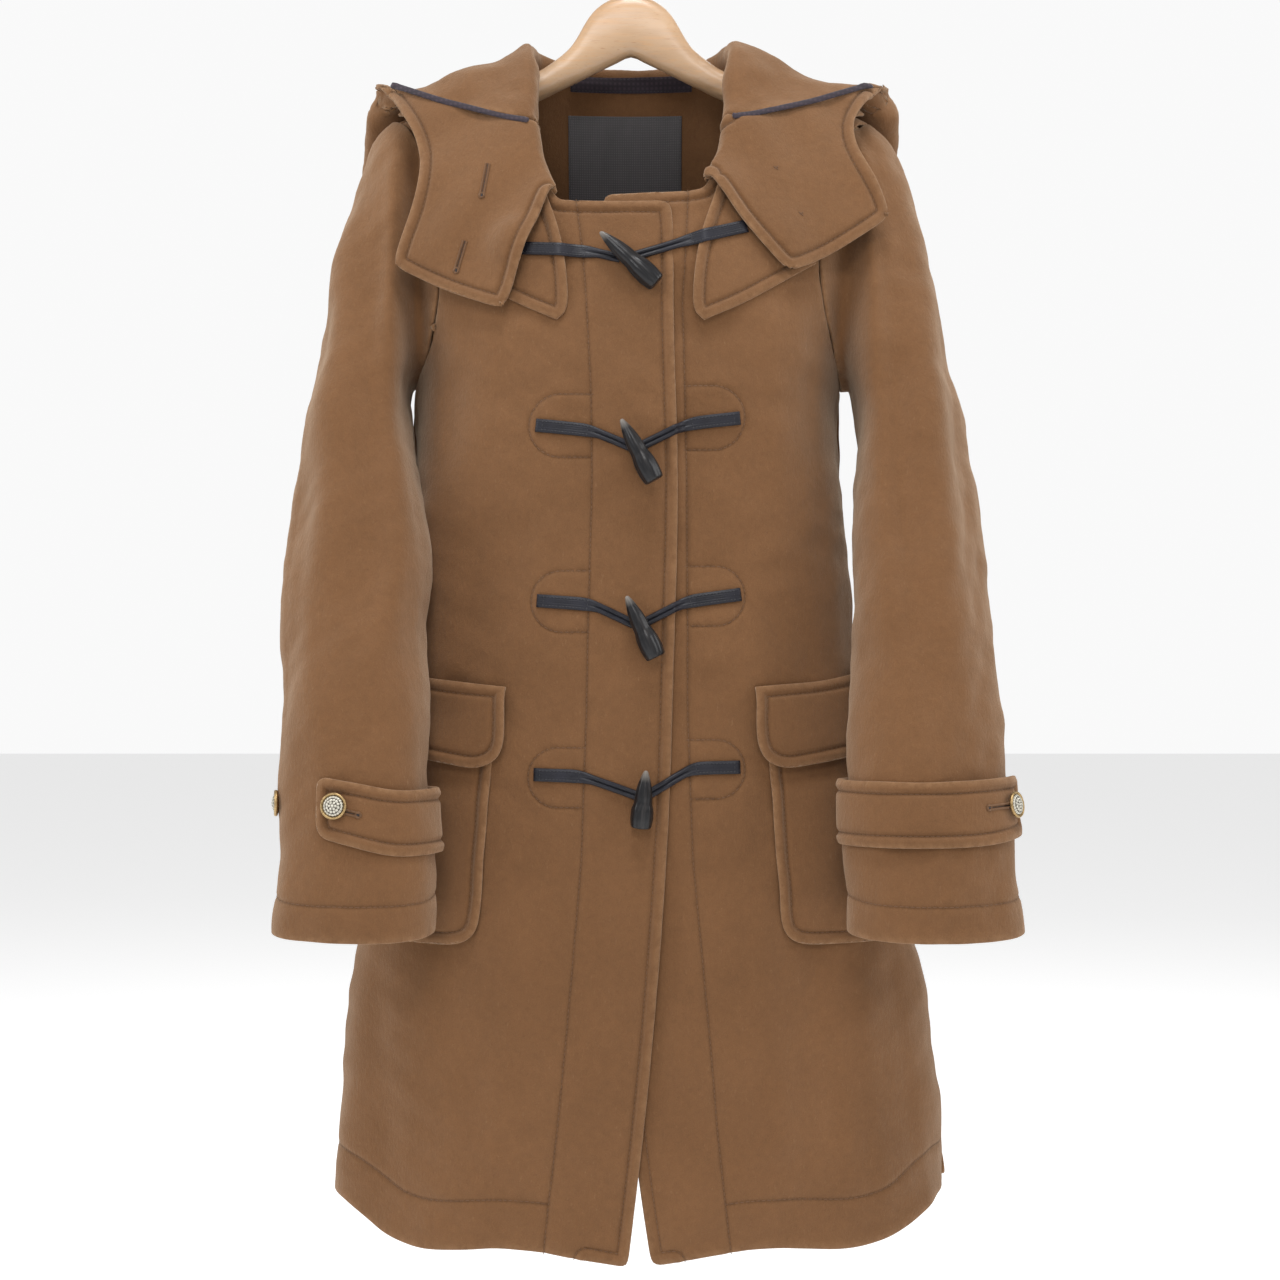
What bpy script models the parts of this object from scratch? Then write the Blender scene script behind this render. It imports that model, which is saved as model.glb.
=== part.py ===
"""A hooded wool duffle coat hanging on a wooden coat hanger.

Metres, +Z up.  The coat's front faces -Y, the wearer's right is -X.
The origin is the inner top of the hanger's hook, where a rail carries it.
"""
from collections import namedtuple
from math import cos, pi, radians, sin, sqrt

import bmesh
import bpy
import numpy as np
from mathutils import Vector
from mathutils.bvhtree import BVHTree

# ---------------------------------------------------------------- driving sizes
CLOTH = 0.003            # wool melton, one layer
FACED_CLOTH = 0.0042     # two layers sewn back to back, as in flaps and straps
SEAM_GAP = 0.0003        # between pieces that meet at a seam
LAY_GAP = 0.0004         # between a piece and the panel that it lies on
SETTLE_REACH = 0.010     # how far off a lying piece looks for what is below it
SETTLE_STEPS = 9
SETTLE_ROUNDS = 2
UNDERARM_HEIGHT = -0.362
SHOULDER_REACH = 0.180   # hanger centre to the sleeve head
NECK_REACH = 0.080       # hanger centre to the neck point of the shoulder seam
CHEST_HALF = 0.158
LAP_DEPTH = 0.0041       # the under front lies this far behind the upper one
LAP_START = 0.012        # as far as this past the upper one's edge
LAP_EASE = 0.030         # and comes level with it over this much more
# Rows of cloth points by share of the way from shoulder seam to underarm.
ARM_PARTS = (0.0, 0.03, 0.065, 0.115, 0.20, 0.33, 0.48, 0.65, 0.81, 0.93, 1.0)
ARM_ROWS = len(ARM_PARTS) - 1
SKIRT_ROWS = 9           # rows from underarm to hem
NECK_SPREAD = 0.08       # how strongly the columns leave the neckline squarely
SIDES = {"right": -1, "left": 1}

# Where the cloth of the shoulder lies, by distance from the hanger's centre.
Shoulder = namedtuple("Shoulder", "reach height")
SHOULDER_LINE = (
    Shoulder(0.000, -0.088),
    Shoulder(0.040, -0.098),
    Shoulder(0.080, -0.1195),
    Shoulder(0.120, -0.1360),
    Shoulder(0.150, -0.1475),
    Shoulder(0.180, -0.1590),
    Shoulder(0.240, -0.1800),
)

# How far the cloth stands before and behind the hanger, by drop below it.
Profile = namedtuple("Profile", "drop front back")
HANG_PROFILE = (
    Profile(0.0000, 0.0000, 0.0000),
    Profile(0.0012, 0.0090, 0.0090),
    Profile(0.0040, 0.0175, 0.0170),
    Profile(0.0110, 0.0255, 0.0240),
    Profile(0.0300, 0.0375, 0.0340),
    Profile(0.0600, 0.0540, 0.0440),
    Profile(0.1000, 0.0720, 0.0560),
    Profile(0.1500, 0.0870, 0.0680),
    Profile(0.2200, 0.0970, 0.0760),
    Profile(0.3000, 0.0990, 0.0770),
    Profile(0.3800, 0.0960, 0.0750),
    Profile(0.5000, 0.0980, 0.0790),
    Profile(0.6500, 0.1040, 0.0860),
    Profile(0.9000, 0.1120, 0.0940),
)

# The body's half width on each side, and how square its section is.
Girth = namedtuple("Girth", "height right left square")
BODY_GIRTH = (
    Girth(-0.990, 0.2190, 0.2360, 3.0),
    Girth(-0.950, 0.2185, 0.2345, 3.0),
    Girth(-0.850, 0.2115, 0.2235, 2.9),
    Girth(-0.780, 0.2055, 0.2140, 2.8),
    Girth(-0.650, 0.1800, 0.1830, 2.7),
    Girth(-0.550, 0.1640, 0.1650, 2.7),
    Girth(-0.470, 0.1560, 0.1575, 2.7),
    Girth(-0.362, 0.1580, 0.1580, 2.7),
    Girth(-0.320, 0.1720, 0.1720, 2.7),
    Girth(-0.250, 0.2050, 0.2050, 2.7),
    Girth(-0.150, 0.2600, 0.2600, 2.7),
)

# The armhole seam, from the shoulder tip down to the underarm.
Armhole = namedtuple("Armhole", "part front back")
ARMHOLE = (
    Armhole(0.00, 0.1800, 0.1800),
    Armhole(0.15, 0.1620, 0.1640),
    Armhole(0.35, 0.1430, 0.1480),
    Armhole(0.60, 0.1360, 0.1430),
    Armhole(0.80, 0.1420, 0.1460),
    Armhole(0.93, 0.1520, 0.1530),
    Armhole(1.00, 0.1580, 0.1580),
)

# The two front edges, seen from the front, by height.
Edge = namedtuple("Edge", "height right left")
FRONT_EDGE = (
    Edge(-0.984, -0.0020, 0.0152),
    Edge(-0.955, 0.0016, 0.0090),
    Edge(-0.919, 0.0060, 0.0047),
    Edge(-0.880, 0.0095, 0.0025),
    Edge(-0.834, 0.0152, -0.0040),
    Edge(-0.760, 0.0210, -0.0120),
    Edge(-0.670, 0.0271, -0.0180),
    Edge(-0.540, 0.0307, -0.0190),
    Edge(-0.450, 0.0338, -0.0190),
    Edge(-0.330, 0.0307, -0.0195),
    Edge(-0.215, 0.0281, -0.0196),
)

# The neckline from the front edge to the neck point, and across the back.
Neckline = namedtuple("Neckline", "reach right left")
NECK_COLUMNS = (
    Neckline(0.0000, -0.2318, -0.2255),
    Neckline(0.0300, -0.2322, -0.2225),
    Neckline(0.0530, -0.2310, -0.2210),
    Neckline(0.0660, -0.2000, -0.1950),
    Neckline(0.0745, -0.1600, -0.1580),
    Neckline(0.0760, -0.1480, -0.1470),
    Neckline(0.0772, -0.1380, -0.1375),
    Neckline(0.0784, -0.1290, -0.1290),
    Neckline(0.0793, -0.1228, -0.1228),
    Neckline(0.0800, -0.1195, -0.1195),
)
BackNeck = namedtuple("BackNeck", "reach height")
BACK_NECK = (
    BackNeck(0.000, -0.1190),
    BackNeck(0.055, -0.1190),
    BackNeck(0.080, -0.1195),
)

# The hem's rise from the centre front to the side seam, by share of width.
Hem = namedtuple("Hem", "share front back")
HEM_DROP = (
    Hem(0.00, 0.0380, 0.0160),
    Hem(0.35, 0.0260, 0.0150),
    Hem(0.74, 0.0250, 0.0100),
    Hem(0.80, 0.0210, 0.0080),
    Hem(0.88, 0.0110, 0.0040),
    Hem(0.96, 0.0010, 0.0010),
    Hem(1.00, 0.0000, 0.0000),
)
SIDE_HEM_HEIGHT = -0.946

# The sleeves below the armhole: inner and outer reach of each, the middle's
# place before the hanger, half the depth, and how far it turns to the front.
Sleeve = namedtuple(
    "Sleeve", "height in_right out_right in_left out_left middle half turn")
SLEEVE = (
    Sleeve(-0.392, 0.1660, 0.2400, 0.1650, 0.2445, -0.034, 0.0600, 0.18),
    Sleeve(-0.411, 0.1635, 0.2426, 0.1635, 0.2475, -0.041, 0.0590, 0.20),
    Sleeve(-0.448, 0.1565, 0.2467, 0.1610, 0.2516, -0.055, 0.0570, 0.20),
    Sleeve(-0.484, 0.1515, 0.2480, 0.1597, 0.2550, -0.069, 0.0540, 0.20),
    Sleeve(-0.520, 0.1475, 0.2479, 0.1580, 0.2572, -0.082, 0.0515, 0.20),
    Sleeve(-0.556, 0.1445, 0.2470, 0.1567, 0.2593, -0.093, 0.0490, 0.20),
    Sleeve(-0.591, 0.1420, 0.2465, 0.1545, 0.2615, -0.103, 0.0470, 0.18),
    Sleeve(-0.626, 0.1400, 0.2450, 0.1520, 0.2624, -0.111, 0.0445, 0.16),
    Sleeve(-0.660, 0.1375, 0.2440, 0.1500, 0.2649, -0.118, 0.0420, 0.14),
    Sleeve(-0.695, 0.1350, 0.2435, 0.1500, 0.2682, -0.124, 0.0400, 0.12),
    Sleeve(-0.729, 0.1325, 0.2443, 0.1503, 0.2696, -0.128, 0.0380, 0.10),
    Sleeve(-0.746, 0.1318, 0.2447, 0.1501, 0.2713, -0.130, 0.0370, 0.10),
)
SLEEVE_HEAD_ROWS = 6
SLEEVE_SQUARE = 2.2
SLEEVE_LEAD = (0.004, 0.016)     # it leaves the seam by this at shoulder, underarm
CUFF_DIP = 0.004         # the cuff's front hangs lower than its sides

# The yoke's end over each front, from the shoulder down: its neck edge, and
# how far down the armhole its other edge has come.
YokeRow = namedtuple("YokeRow", "reach height armhole")
YOKE = (
    YokeRow(0.0790, -0.1225, 0.02),
    YokeRow(0.0755, -0.1590, 0.12),
    YokeRow(0.0680, -0.1970, 0.24),
    YokeRow(0.0590, -0.2300, 0.36),
    YokeRow(0.0495, -0.2560, 0.46),
    YokeRow(0.0450, -0.2850, 0.56),
    YokeRow(0.0440, -0.3050, 0.63),
    YokeRow(0.0460, -0.3140, 0.66),
    YokeRow(0.0520, -0.3190, 0.68),
)
YOKE_EDGE = 0.0050       # the yoke stops this far short of the armhole seam
YOKE_START = 0.0040      # and this far down from the shoulder line

# The patch pockets' front edge, from the mouth down.
PocketRow = namedtuple("PocketRow", "height reach")
POCKET = (
    PocketRow(-0.7605, 0.1060),
    PocketRow(-0.7000, 0.1035),
    PocketRow(-0.6400, 0.0985),
    PocketRow(-0.5900, 0.0960),
)
POCKET_CORNER = 0.020
POCKET_TURN = radians(76)    # how far round the body the pocket reaches
SIDE_RADIUS = 0.10           # of the body where the pockets end
FLAP_TOP = -0.578
FLAP_RISE = 0.010            # the flap's top line climbs towards the side
FLAP_LENGTH = 0.058
FLAP_CORNER = 0.022
FLAP_REACH = 0.0875

NECK_POINT = 9           # the neckline's column at the shoulder seam, either side
BACK_NECK_COLUMNS = (0.0, 0.020, 0.040, 0.060, 0.072)
NECK_CORNER = 2          # and its column where it turns up from the front

# How the hood's cloth rises from the neck seam and rolls over outwards, by
# share of its stand and of its lift: its upper side, then its under side.
Roll = namedtuple("Roll", "up out under_up under_out")
ROLL = (
    Roll(0.00, 0.00, 0.00, 0.00),
    Roll(0.45, 0.00, 0.45, 0.00),
    Roll(0.82, 0.16, 0.72, 0.14),
    Roll(1.00, 0.48, 0.88, 0.48),
    Roll(0.78, 0.82, 0.64, 0.82),
    Roll(0.15, 1.00, 0.10, 1.00),
)

# The hood's throat flaps lying open on the shoulders.  A row for each line
# from the neck seam outwards: place on the neckline, how far the cloth stands
# up there, where it ends, and how far it lies above the front on the way.
FlapLine = namedtuple("FlapLine", "seam stand end_reach end_height near middle end")
FLAP_LINES = {
    -1: (
        FlapLine(2.18, 0.0035, 0.0874, -0.3119, 0.0100, 0.0095, 0.0090),
        FlapLine(2.40, 0.0035, 0.1100, -0.3040, 0.0102, 0.0100, 0.0095),
        FlapLine(2.62, 0.0038, 0.1350, -0.2930, 0.0105, 0.0105, 0.0115),
        FlapLine(2.84, 0.0040, 0.1600, -0.2760, 0.0108, 0.0115, 0.0190),
        FlapLine(3.02, 0.0042, 0.1560, -0.2520, 0.0112, 0.0120, 0.0180),
        FlapLine(3.17, 0.0045, 0.1480, -0.2250, 0.0118, 0.0130, 0.0160),
        FlapLine(3.32, 0.0048, 0.1480, -0.1980, 0.0124, 0.0140, 0.0165),
        FlapLine(3.47, 0.0051, 0.1580, -0.1730, 0.0130, 0.0155, 0.0200),
    ),
    1: (
        FlapLine(2.18, 0.0035, 0.1094, -0.2848, 0.0100, 0.0095, 0.0090),
        FlapLine(2.38, 0.0035, 0.1260, -0.2780, 0.0102, 0.0100, 0.0100),
        FlapLine(2.58, 0.0038, 0.1500, -0.2630, 0.0105, 0.0105, 0.0150),
        FlapLine(2.78, 0.0040, 0.1760, -0.2420, 0.0108, 0.0115, 0.0240),
        FlapLine(2.96, 0.0042, 0.1720, -0.2250, 0.0112, 0.0120, 0.0240),
        FlapLine(3.13, 0.0045, 0.1620, -0.2060, 0.0118, 0.0130, 0.0210),
        FlapLine(3.30, 0.0048, 0.1560, -0.1850, 0.0124, 0.0140, 0.0200),
        FlapLine(3.46, 0.0051, 0.1600, -0.1680, 0.0130, 0.0155, 0.0220),
    ),
}
FLAP_OUT = (0.12, 0.26, 0.42, 0.58, 0.74, 0.88, 1.00)

# The hood between the flaps, over the shoulders and down the back.  Ways are
# measured down the cloth from the shoulder line, in front and (minus) behind.
HoodLine = namedtuple(
    "HoodLine", "seam stand near middle fold fold_way fold_lift radius "
    "edge edge_way edge_lift")
HOOD = (
    HoodLine(3.60, 0.0055, 0.0135, 0.017, 0.160, 0.008, 0.0240, 0.0000,
             0.178, 0.004, 0.0290),
    HoodLine(4.00, 0.0080, 0.0145, 0.017, 0.168, 0.000, 0.0200, 0.0030,
             0.180, -0.003, 0.0330),
    HoodLine(6.50, 0.0120, 0.0165, 0.017, 0.181, -0.010, 0.0150, 0.0060,
             0.178, -0.013, 0.0380),
    HoodLine(9.00, 0.0165, 0.0180, 0.018, 0.188, -0.030, 0.0140, 0.0080,
             0.174, -0.027, 0.0400),
    HoodLine(10.00, 0.0165, 0.0180, 0.018, 0.188, -0.078, 0.0140, 0.0095,
             0.166, -0.048, 0.0410),
    HoodLine(11.00, 0.0140, 0.0165, 0.016, 0.168, -0.158, 0.0140, 0.0105,
             0.148, -0.072, 0.0420),
    HoodLine(12.00, 0.0115, 0.0145, 0.014, 0.126, -0.252, 0.0130, 0.0105,
             0.110, -0.100, 0.0440),
    HoodLine(13.00, 0.0100, 0.0130, 0.012, 0.066, -0.322, 0.0120, 0.0105,
             0.058, -0.121, 0.0460),
    HoodLine(14.00, 0.0095, 0.0125, 0.012, 0.000, -0.352, 0.0120, 0.0105,
             0.000, -0.128, 0.0470),
)
HOOD_SEAMS = (3.6, 4.0, 4.8, 5.6, 6.5, 7.4, 8.2, 9.0, 9.5, 10.0, 10.5, 11.0,
              11.5, 12.0, 12.5, 13.0, 13.5, 14.0)
HOOD_OUT = (0.12, 0.26, 0.42, 0.58, 0.74, 0.90)
HOOD_TURN = (-60, -20, 20, 60)
HOOD_BACK = (0.28, 0.52, 0.76, 1.00)
HOOD_TURN_SHARE = 0.03   # of the way to the edge, gained at each step of the turn
PIPED_LEVEL = 0.90       # how much of the piped seam lies level, before the turn
PIPED_GAP = 0.0010       # between hood and throat flap, under the binding
BINDING_RADIUS = 0.0019

# The toggles: the horn's tip and base, and where each leather ends, on the coat
# and where it narrows.  From there it runs on under the horn's waist.
Toggle = namedtuple("Toggle", "tip base loop_end loop_neck strap_end strap_neck")
TOGGLES = (
    Toggle((-0.0214, -0.2589), (0.0187, -0.2940), (-0.0727, -0.2673),
           (-0.0263, -0.2701), (0.0714, -0.2530), (0.0400, -0.2615)),
    Toggle((-0.0065, -0.3898), (0.0179, -0.4323), (-0.0670, -0.3933),
           (-0.0267, -0.3974), (0.0777, -0.3880), (0.0408, -0.3920)),
    Toggle((-0.0030, -0.5144), (0.0179, -0.5575), (-0.0663, -0.5172),
           (-0.0267, -0.5200), (0.0784, -0.5126), (0.0388, -0.5180)),
    Toggle((0.0109, -0.6369), (0.0074, -0.6772), (-0.0684, -0.6400),
           (-0.0336, -0.6410), (0.0777, -0.6348), (0.0436, -0.6355)),
)
WAIST = 0.45             # the horn's waist, as a share from tip to base
LOOP_SHORT = 0.0045      # the loop ends this far short of the waist's middle
STRAP_PAST = 0.0015      # and the strap this far, on the other side
HORN_REST = 0.0001       # the horn's play above the leathers
LEATHER_HEIGHT = 0.0092
LEATHER = 0.0022
LEATHER_NARROW = 0.8     # its width from the neck on, as a share
LEATHER_STEPS = (0.0, 0.25, 0.5, 0.75, 1.0, 1.33, 1.66, 2.0)
Horn = namedtuple("Horn", "share radius")
HORN = (
    Horn(0.00, 0.0014),
    Horn(0.12, 0.0033),
    Horn(0.30, 0.0054),
    Horn(0.45, 0.0064),
    Horn(0.55, 0.0062),
    Horn(0.68, 0.0080),
    Horn(0.85, 0.0083),
    Horn(1.00, 0.0070),
)

# The cuff straps, by turn round the sleeve from its outer side to the front.
CuffStrap = namedtuple("CuffStrap", "tab_turn seam_turn tab_height height")
CUFF_STRAPS = {
    "right": CuffStrap(radians(64), radians(232), -0.6580, -0.6700),
    "left": CuffStrap(radians(4), radians(232), -0.6590, -0.6640),
}
CUFF_STRAP_HALF = 0.0222
CUFF_TAB_CORNER = 0.007
CUFF_TAB_NARROW = 0.002  # the tab's end is this much lower, above and below
CUFF_RADIUS = 0.055
CUFF_STEPS = (0.0, 0.015, 0.04, 0.09, 0.17, 0.26, 0.36, 0.46, 0.56, 0.66, 0.76,
              0.88, 1.0)
CUFF_BUTTON_TURNS = {"right": (77, 9), "left": (27, -48)}
BUTTON_RADIUS = 0.0092
# A button by share of its radius and rise above the cloth.
ButtonRing = namedtuple("ButtonRing", "radius rise")
BUTTON = (
    ButtonRing(0.50, 0.0002),
    ButtonRing(0.96, 0.0014),
    ButtonRing(1.00, 0.0027),
    ButtonRing(0.84, 0.0036),
    ButtonRing(0.58, 0.0051),
    ButtonRing(0.22, 0.0060),
)

# The hanger: one half, from the middle to the end of an arm.
Arm = namedtuple("Arm", "reach top bottom half")
HANGER = (
    Arm(0.0000, -0.0620, -0.1072, 0.0100),
    Arm(0.0080, -0.0626, -0.1112, 0.0100),
    Arm(0.0160, -0.0652, -0.1150, 0.0101),
    Arm(0.0230, -0.0695, -0.1184, 0.0102),
    Arm(0.0290, -0.0750, -0.1212, 0.0104),
    Arm(0.0345, -0.0832, -0.1240, 0.0106),
    Arm(0.0395, -0.0925, -0.1264, 0.0108),
    Arm(0.0450, -0.1010, -0.1290, 0.0112),
    Arm(0.0520, -0.1075, -0.1322, 0.0116),
    Arm(0.0650, -0.1174, -0.1384, 0.0125),
    Arm(0.0850, -0.1270, -0.1475, 0.0135),
    Arm(0.1100, -0.1362, -0.1580, 0.0155),
    Arm(0.1400, -0.1480, -0.1690, 0.0152),
    Arm(0.1650, -0.1582, -0.1770, 0.0135),
    Arm(0.1720, -0.1625, -0.1772, 0.0110),
    Arm(0.1745, -0.1665, -0.1735, 0.0050),
)
HANGER_SQUARE = 0.75
HOOK_RADIUS = 0.0020
HOOK_INSIDE = 0.0200
HOOK_START = radians(-38)
HOOK_END = radians(205)
HOOK_STEPS = 22
# The hook's stem, by reach and rise above the wood.
StemPoint = namedtuple("StemPoint", "reach rise")
HOOK_STEM = (
    StemPoint(0.0000, 0.0000),
    StemPoint(0.0000, 0.0060),
    StemPoint(0.0000, 0.0120),
    StemPoint(0.0045, 0.0175),
    StemPoint(0.0115, 0.0215),
)

LABEL_HALF = 0.044
LABEL_MIDDLE = -0.0048
LABEL_TOP = -0.1425
LABEL_BOTTOM = -0.2075
LABEL_CLOTH = 0.0010
LABEL_HEIGHTS = (LABEL_BOTTOM, -0.186, -0.164, LABEL_TOP)
TAPE_HALF = 0.058
TAPE_TOP = -0.1225
TAPE_BOTTOM = -0.1315


# ---------------------------------------------------------------- helpers
def smooth(xs, ys):
    """A smooth curve through the values ys at the places xs, which rise."""
    xs = np.array(xs, float)
    ys = np.array(ys, float)
    slopes = np.gradient(ys, xs)

    def at(x):
        x = np.clip(x, xs[0], xs[-1])
        i = np.clip(np.searchsorted(xs, x) - 1, 0, len(xs) - 2)
        span = xs[i + 1] - xs[i]
        t = (x - xs[i]) / span
        rise = (2 * t**3 - 3 * t**2 + 1) * ys[i] + (3 * t**2 - 2 * t**3) * ys[i + 1]
        lean = (t**3 - 2 * t**2 + t) * slopes[i] + (t**3 - t**2) * slopes[i + 1]
        return rise + span * lean

    return at


def column(table, place, value):
    """A smooth curve through two named columns of a table."""
    return smooth([getattr(row, place) for row in table],
                  [getattr(row, value) for row in table])


def material(name, colour, roughness, metallic=0.0):
    """A Principled material in one colour."""
    made = bpy.data.materials.new(name)
    made.use_nodes = True
    shader = made.node_tree.nodes["Principled BSDF"]
    shader.inputs["Base Color"].default_value = (*colour, 1.0)
    shader.inputs["Roughness"].default_value = roughness
    shader.inputs["Metallic"].default_value = metallic
    return made


def unit(vectors):
    """The same directions at length one."""
    return vectors / np.linalg.norm(vectors, axis=-1, keepdims=True)


def grid_normals(points, outward, tube=False):
    """Directions out of a grid of points; outward flips them where needed."""
    if tube:
        across = np.roll(points, -1, axis=1) - np.roll(points, 1, axis=1)
    else:
        across = np.gradient(points, axis=1)
    down = np.gradient(points, axis=0)
    return unit(np.cross(down, across)) * outward


def solid_from(name, outer, inner, finish, tube=False):
    """A closed wall between two grids of points, with rims at its edges."""
    rows, columns = outer.shape[:2]
    mesh = bmesh.new()
    out = [[mesh.verts.new(p) for p in row] for row in outer]
    back = [[mesh.verts.new(p) for p in row] for row in inner]
    steps = columns if tube else columns - 1
    for i in range(rows - 1):
        for j in range(steps):
            k = (j + 1) % columns
            mesh.faces.new((out[i][j], out[i + 1][j], out[i + 1][k], out[i][k]))
            mesh.faces.new((back[i][j], back[i][k], back[i + 1][k], back[i + 1][j]))
    for j in range(steps):
        k = (j + 1) % columns
        mesh.faces.new((out[0][j], out[0][k], back[0][k], back[0][j]))
        mesh.faces.new((out[-1][j], back[-1][j], back[-1][k], out[-1][k]))
    if not tube:
        for i in range(rows - 1):
            mesh.faces.new((out[i][0], back[i][0], back[i + 1][0], out[i + 1][0]))
            mesh.faces.new((out[i][-1], out[i + 1][-1], back[i + 1][-1], back[i][-1]))
    return finish_solid(name, mesh, finish)


def finish_solid(name, mesh, finish):
    """Point the faces out, shade them smooth and place the object."""
    bmesh.ops.triangulate(mesh, faces=mesh.faces[:], quad_method="BEAUTY")
    if mesh.calc_volume(signed=True) < 0:
        bmesh.ops.reverse_faces(mesh, faces=mesh.faces[:])
    data = bpy.data.meshes.new(name)
    mesh.to_mesh(data)
    mesh.free()
    data.shade_smooth()
    data.set_sharp_from_angle(angle=radians(40))
    data.materials.append(finish)
    made = bpy.data.objects.new(name, data)
    bpy.context.scene.collection.objects.link(made)
    return made


def loft(name, rings, finish):
    """A closed body through rings of points, with its two ends filled."""
    mesh = bmesh.new()
    loops = [[mesh.verts.new(p) for p in ring] for ring in rings]
    count = len(loops[0])
    for near, far in zip(loops, loops[1:]):
        for j in range(count):
            k = (j + 1) % count
            mesh.faces.new((near[j], near[k], far[k], far[j]))
    mesh.faces.new(loops[0][::-1])
    mesh.faces.new(loops[-1])
    return finish_solid(name, mesh, finish)


# ---------------------------------------------------------------- the body's form
shoulder_height = column(SHOULDER_LINE, "reach", "height")
path_steps = np.hypot(
    np.diff([row.drop for row in HANG_PROFILE]),
    np.diff([row.front for row in HANG_PROFILE]))
PATH = np.concatenate(([0.0], np.cumsum(path_steps)))
drop_at = smooth(PATH, [row.drop for row in HANG_PROFILE])
depth_at = {
    -1: smooth(PATH, [row.front for row in HANG_PROFILE]),
    1: smooth(PATH, [row.back for row in HANG_PROFILE]),
}
fine_path = np.linspace(0, PATH[-1], 2000)
fine_drop = drop_at(fine_path)
half_width = {
    -1: column(BODY_GIRTH, "height", "right"),
    1: column(BODY_GIRTH, "height", "left"),
}
squareness = column(BODY_GIRTH, "height", "square")
edge_reach = {
    -1: column(FRONT_EDGE, "height", "right"),
    1: column(FRONT_EDGE, "height", "left"),
}
armhole_reach = {
    -1: column(ARMHOLE, "part", "front"),
    1: column(ARMHOLE, "part", "back"),
}
hem_drop = {
    -1: column(HEM_DROP, "share", "front"),
    1: column(HEM_DROP, "share", "back"),
}


def path_to(reach, height):
    """The way down the cloth from the shoulder line to a height."""
    return np.interp(shoulder_height(abs(reach)) - height, fine_drop, fine_path)


def body_point(reach, path, face):
    """A point of the outer cloth; face is -1 on the front and 1 on the back."""
    height = shoulder_height(abs(reach)) - drop_at(path)
    side = -1 if reach < 0 else 1
    share = min(abs(reach) / half_width[side](height), 1.0)
    square = squareness(height)
    round_off = (1 - share**square) ** (1 / square)
    return np.array((reach, face * depth_at[face](path) * round_off, height))


def body_at(reach, height, face=-1):
    """The outer cloth's point at a place in the front or back view."""
    return body_point(reach, path_to(reach, height), face)


def body_normal(reach, height, face=-1, step=0.002):
    """The direction out of the cloth at a place in the front or back view."""
    side = body_at(reach + step, height, face) - body_at(reach - step, height, face)
    rise = body_at(reach, height + step, face) - body_at(reach, height - step, face)
    return unit(np.cross(side, rise)) * -face


def lying(reach, height, lift, face=-1):
    """A point that lies lift above the outer cloth."""
    return body_at(reach, height, face) + body_normal(reach, height, face) * lift


def bare_skin(reach, way):
    """The outer cloth's point, by the way down it in front or (minus) behind."""
    return body_point(reach, abs(way), -1 if way >= 0 else 1)


def skin_out(reach, way, reach_step=0.002, way_step=0.003):
    """The direction out of the cloth there."""
    across = bare_skin(reach + reach_step, way) - bare_skin(reach - reach_step, way)
    down = bare_skin(reach, way + way_step) - bare_skin(reach, way - way_step)
    return unit(np.cross(down, across))


def skin(reach, way, lift):
    """A point that lies lift above the cloth there."""
    return bare_skin(reach, way) + skin_out(reach, way) * lift


def section_reach(turn, side, height):
    """How far out a point stands, by its turn round the section from the front."""
    across = sin(turn)
    half = half_width[side if across > 0 else -side](height)
    share = abs(across) ** (2 / squareness(height))
    return side * np.sign(across) * share * half


def section_turn(reach, side, height):
    """The turn round the section at which a point stands so far out."""
    out = side * reach
    half = half_width[side if out > 0 else -side](height)
    return np.sign(out) * np.arcsin((abs(out) / half) ** (squareness(height) / 2))


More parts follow.
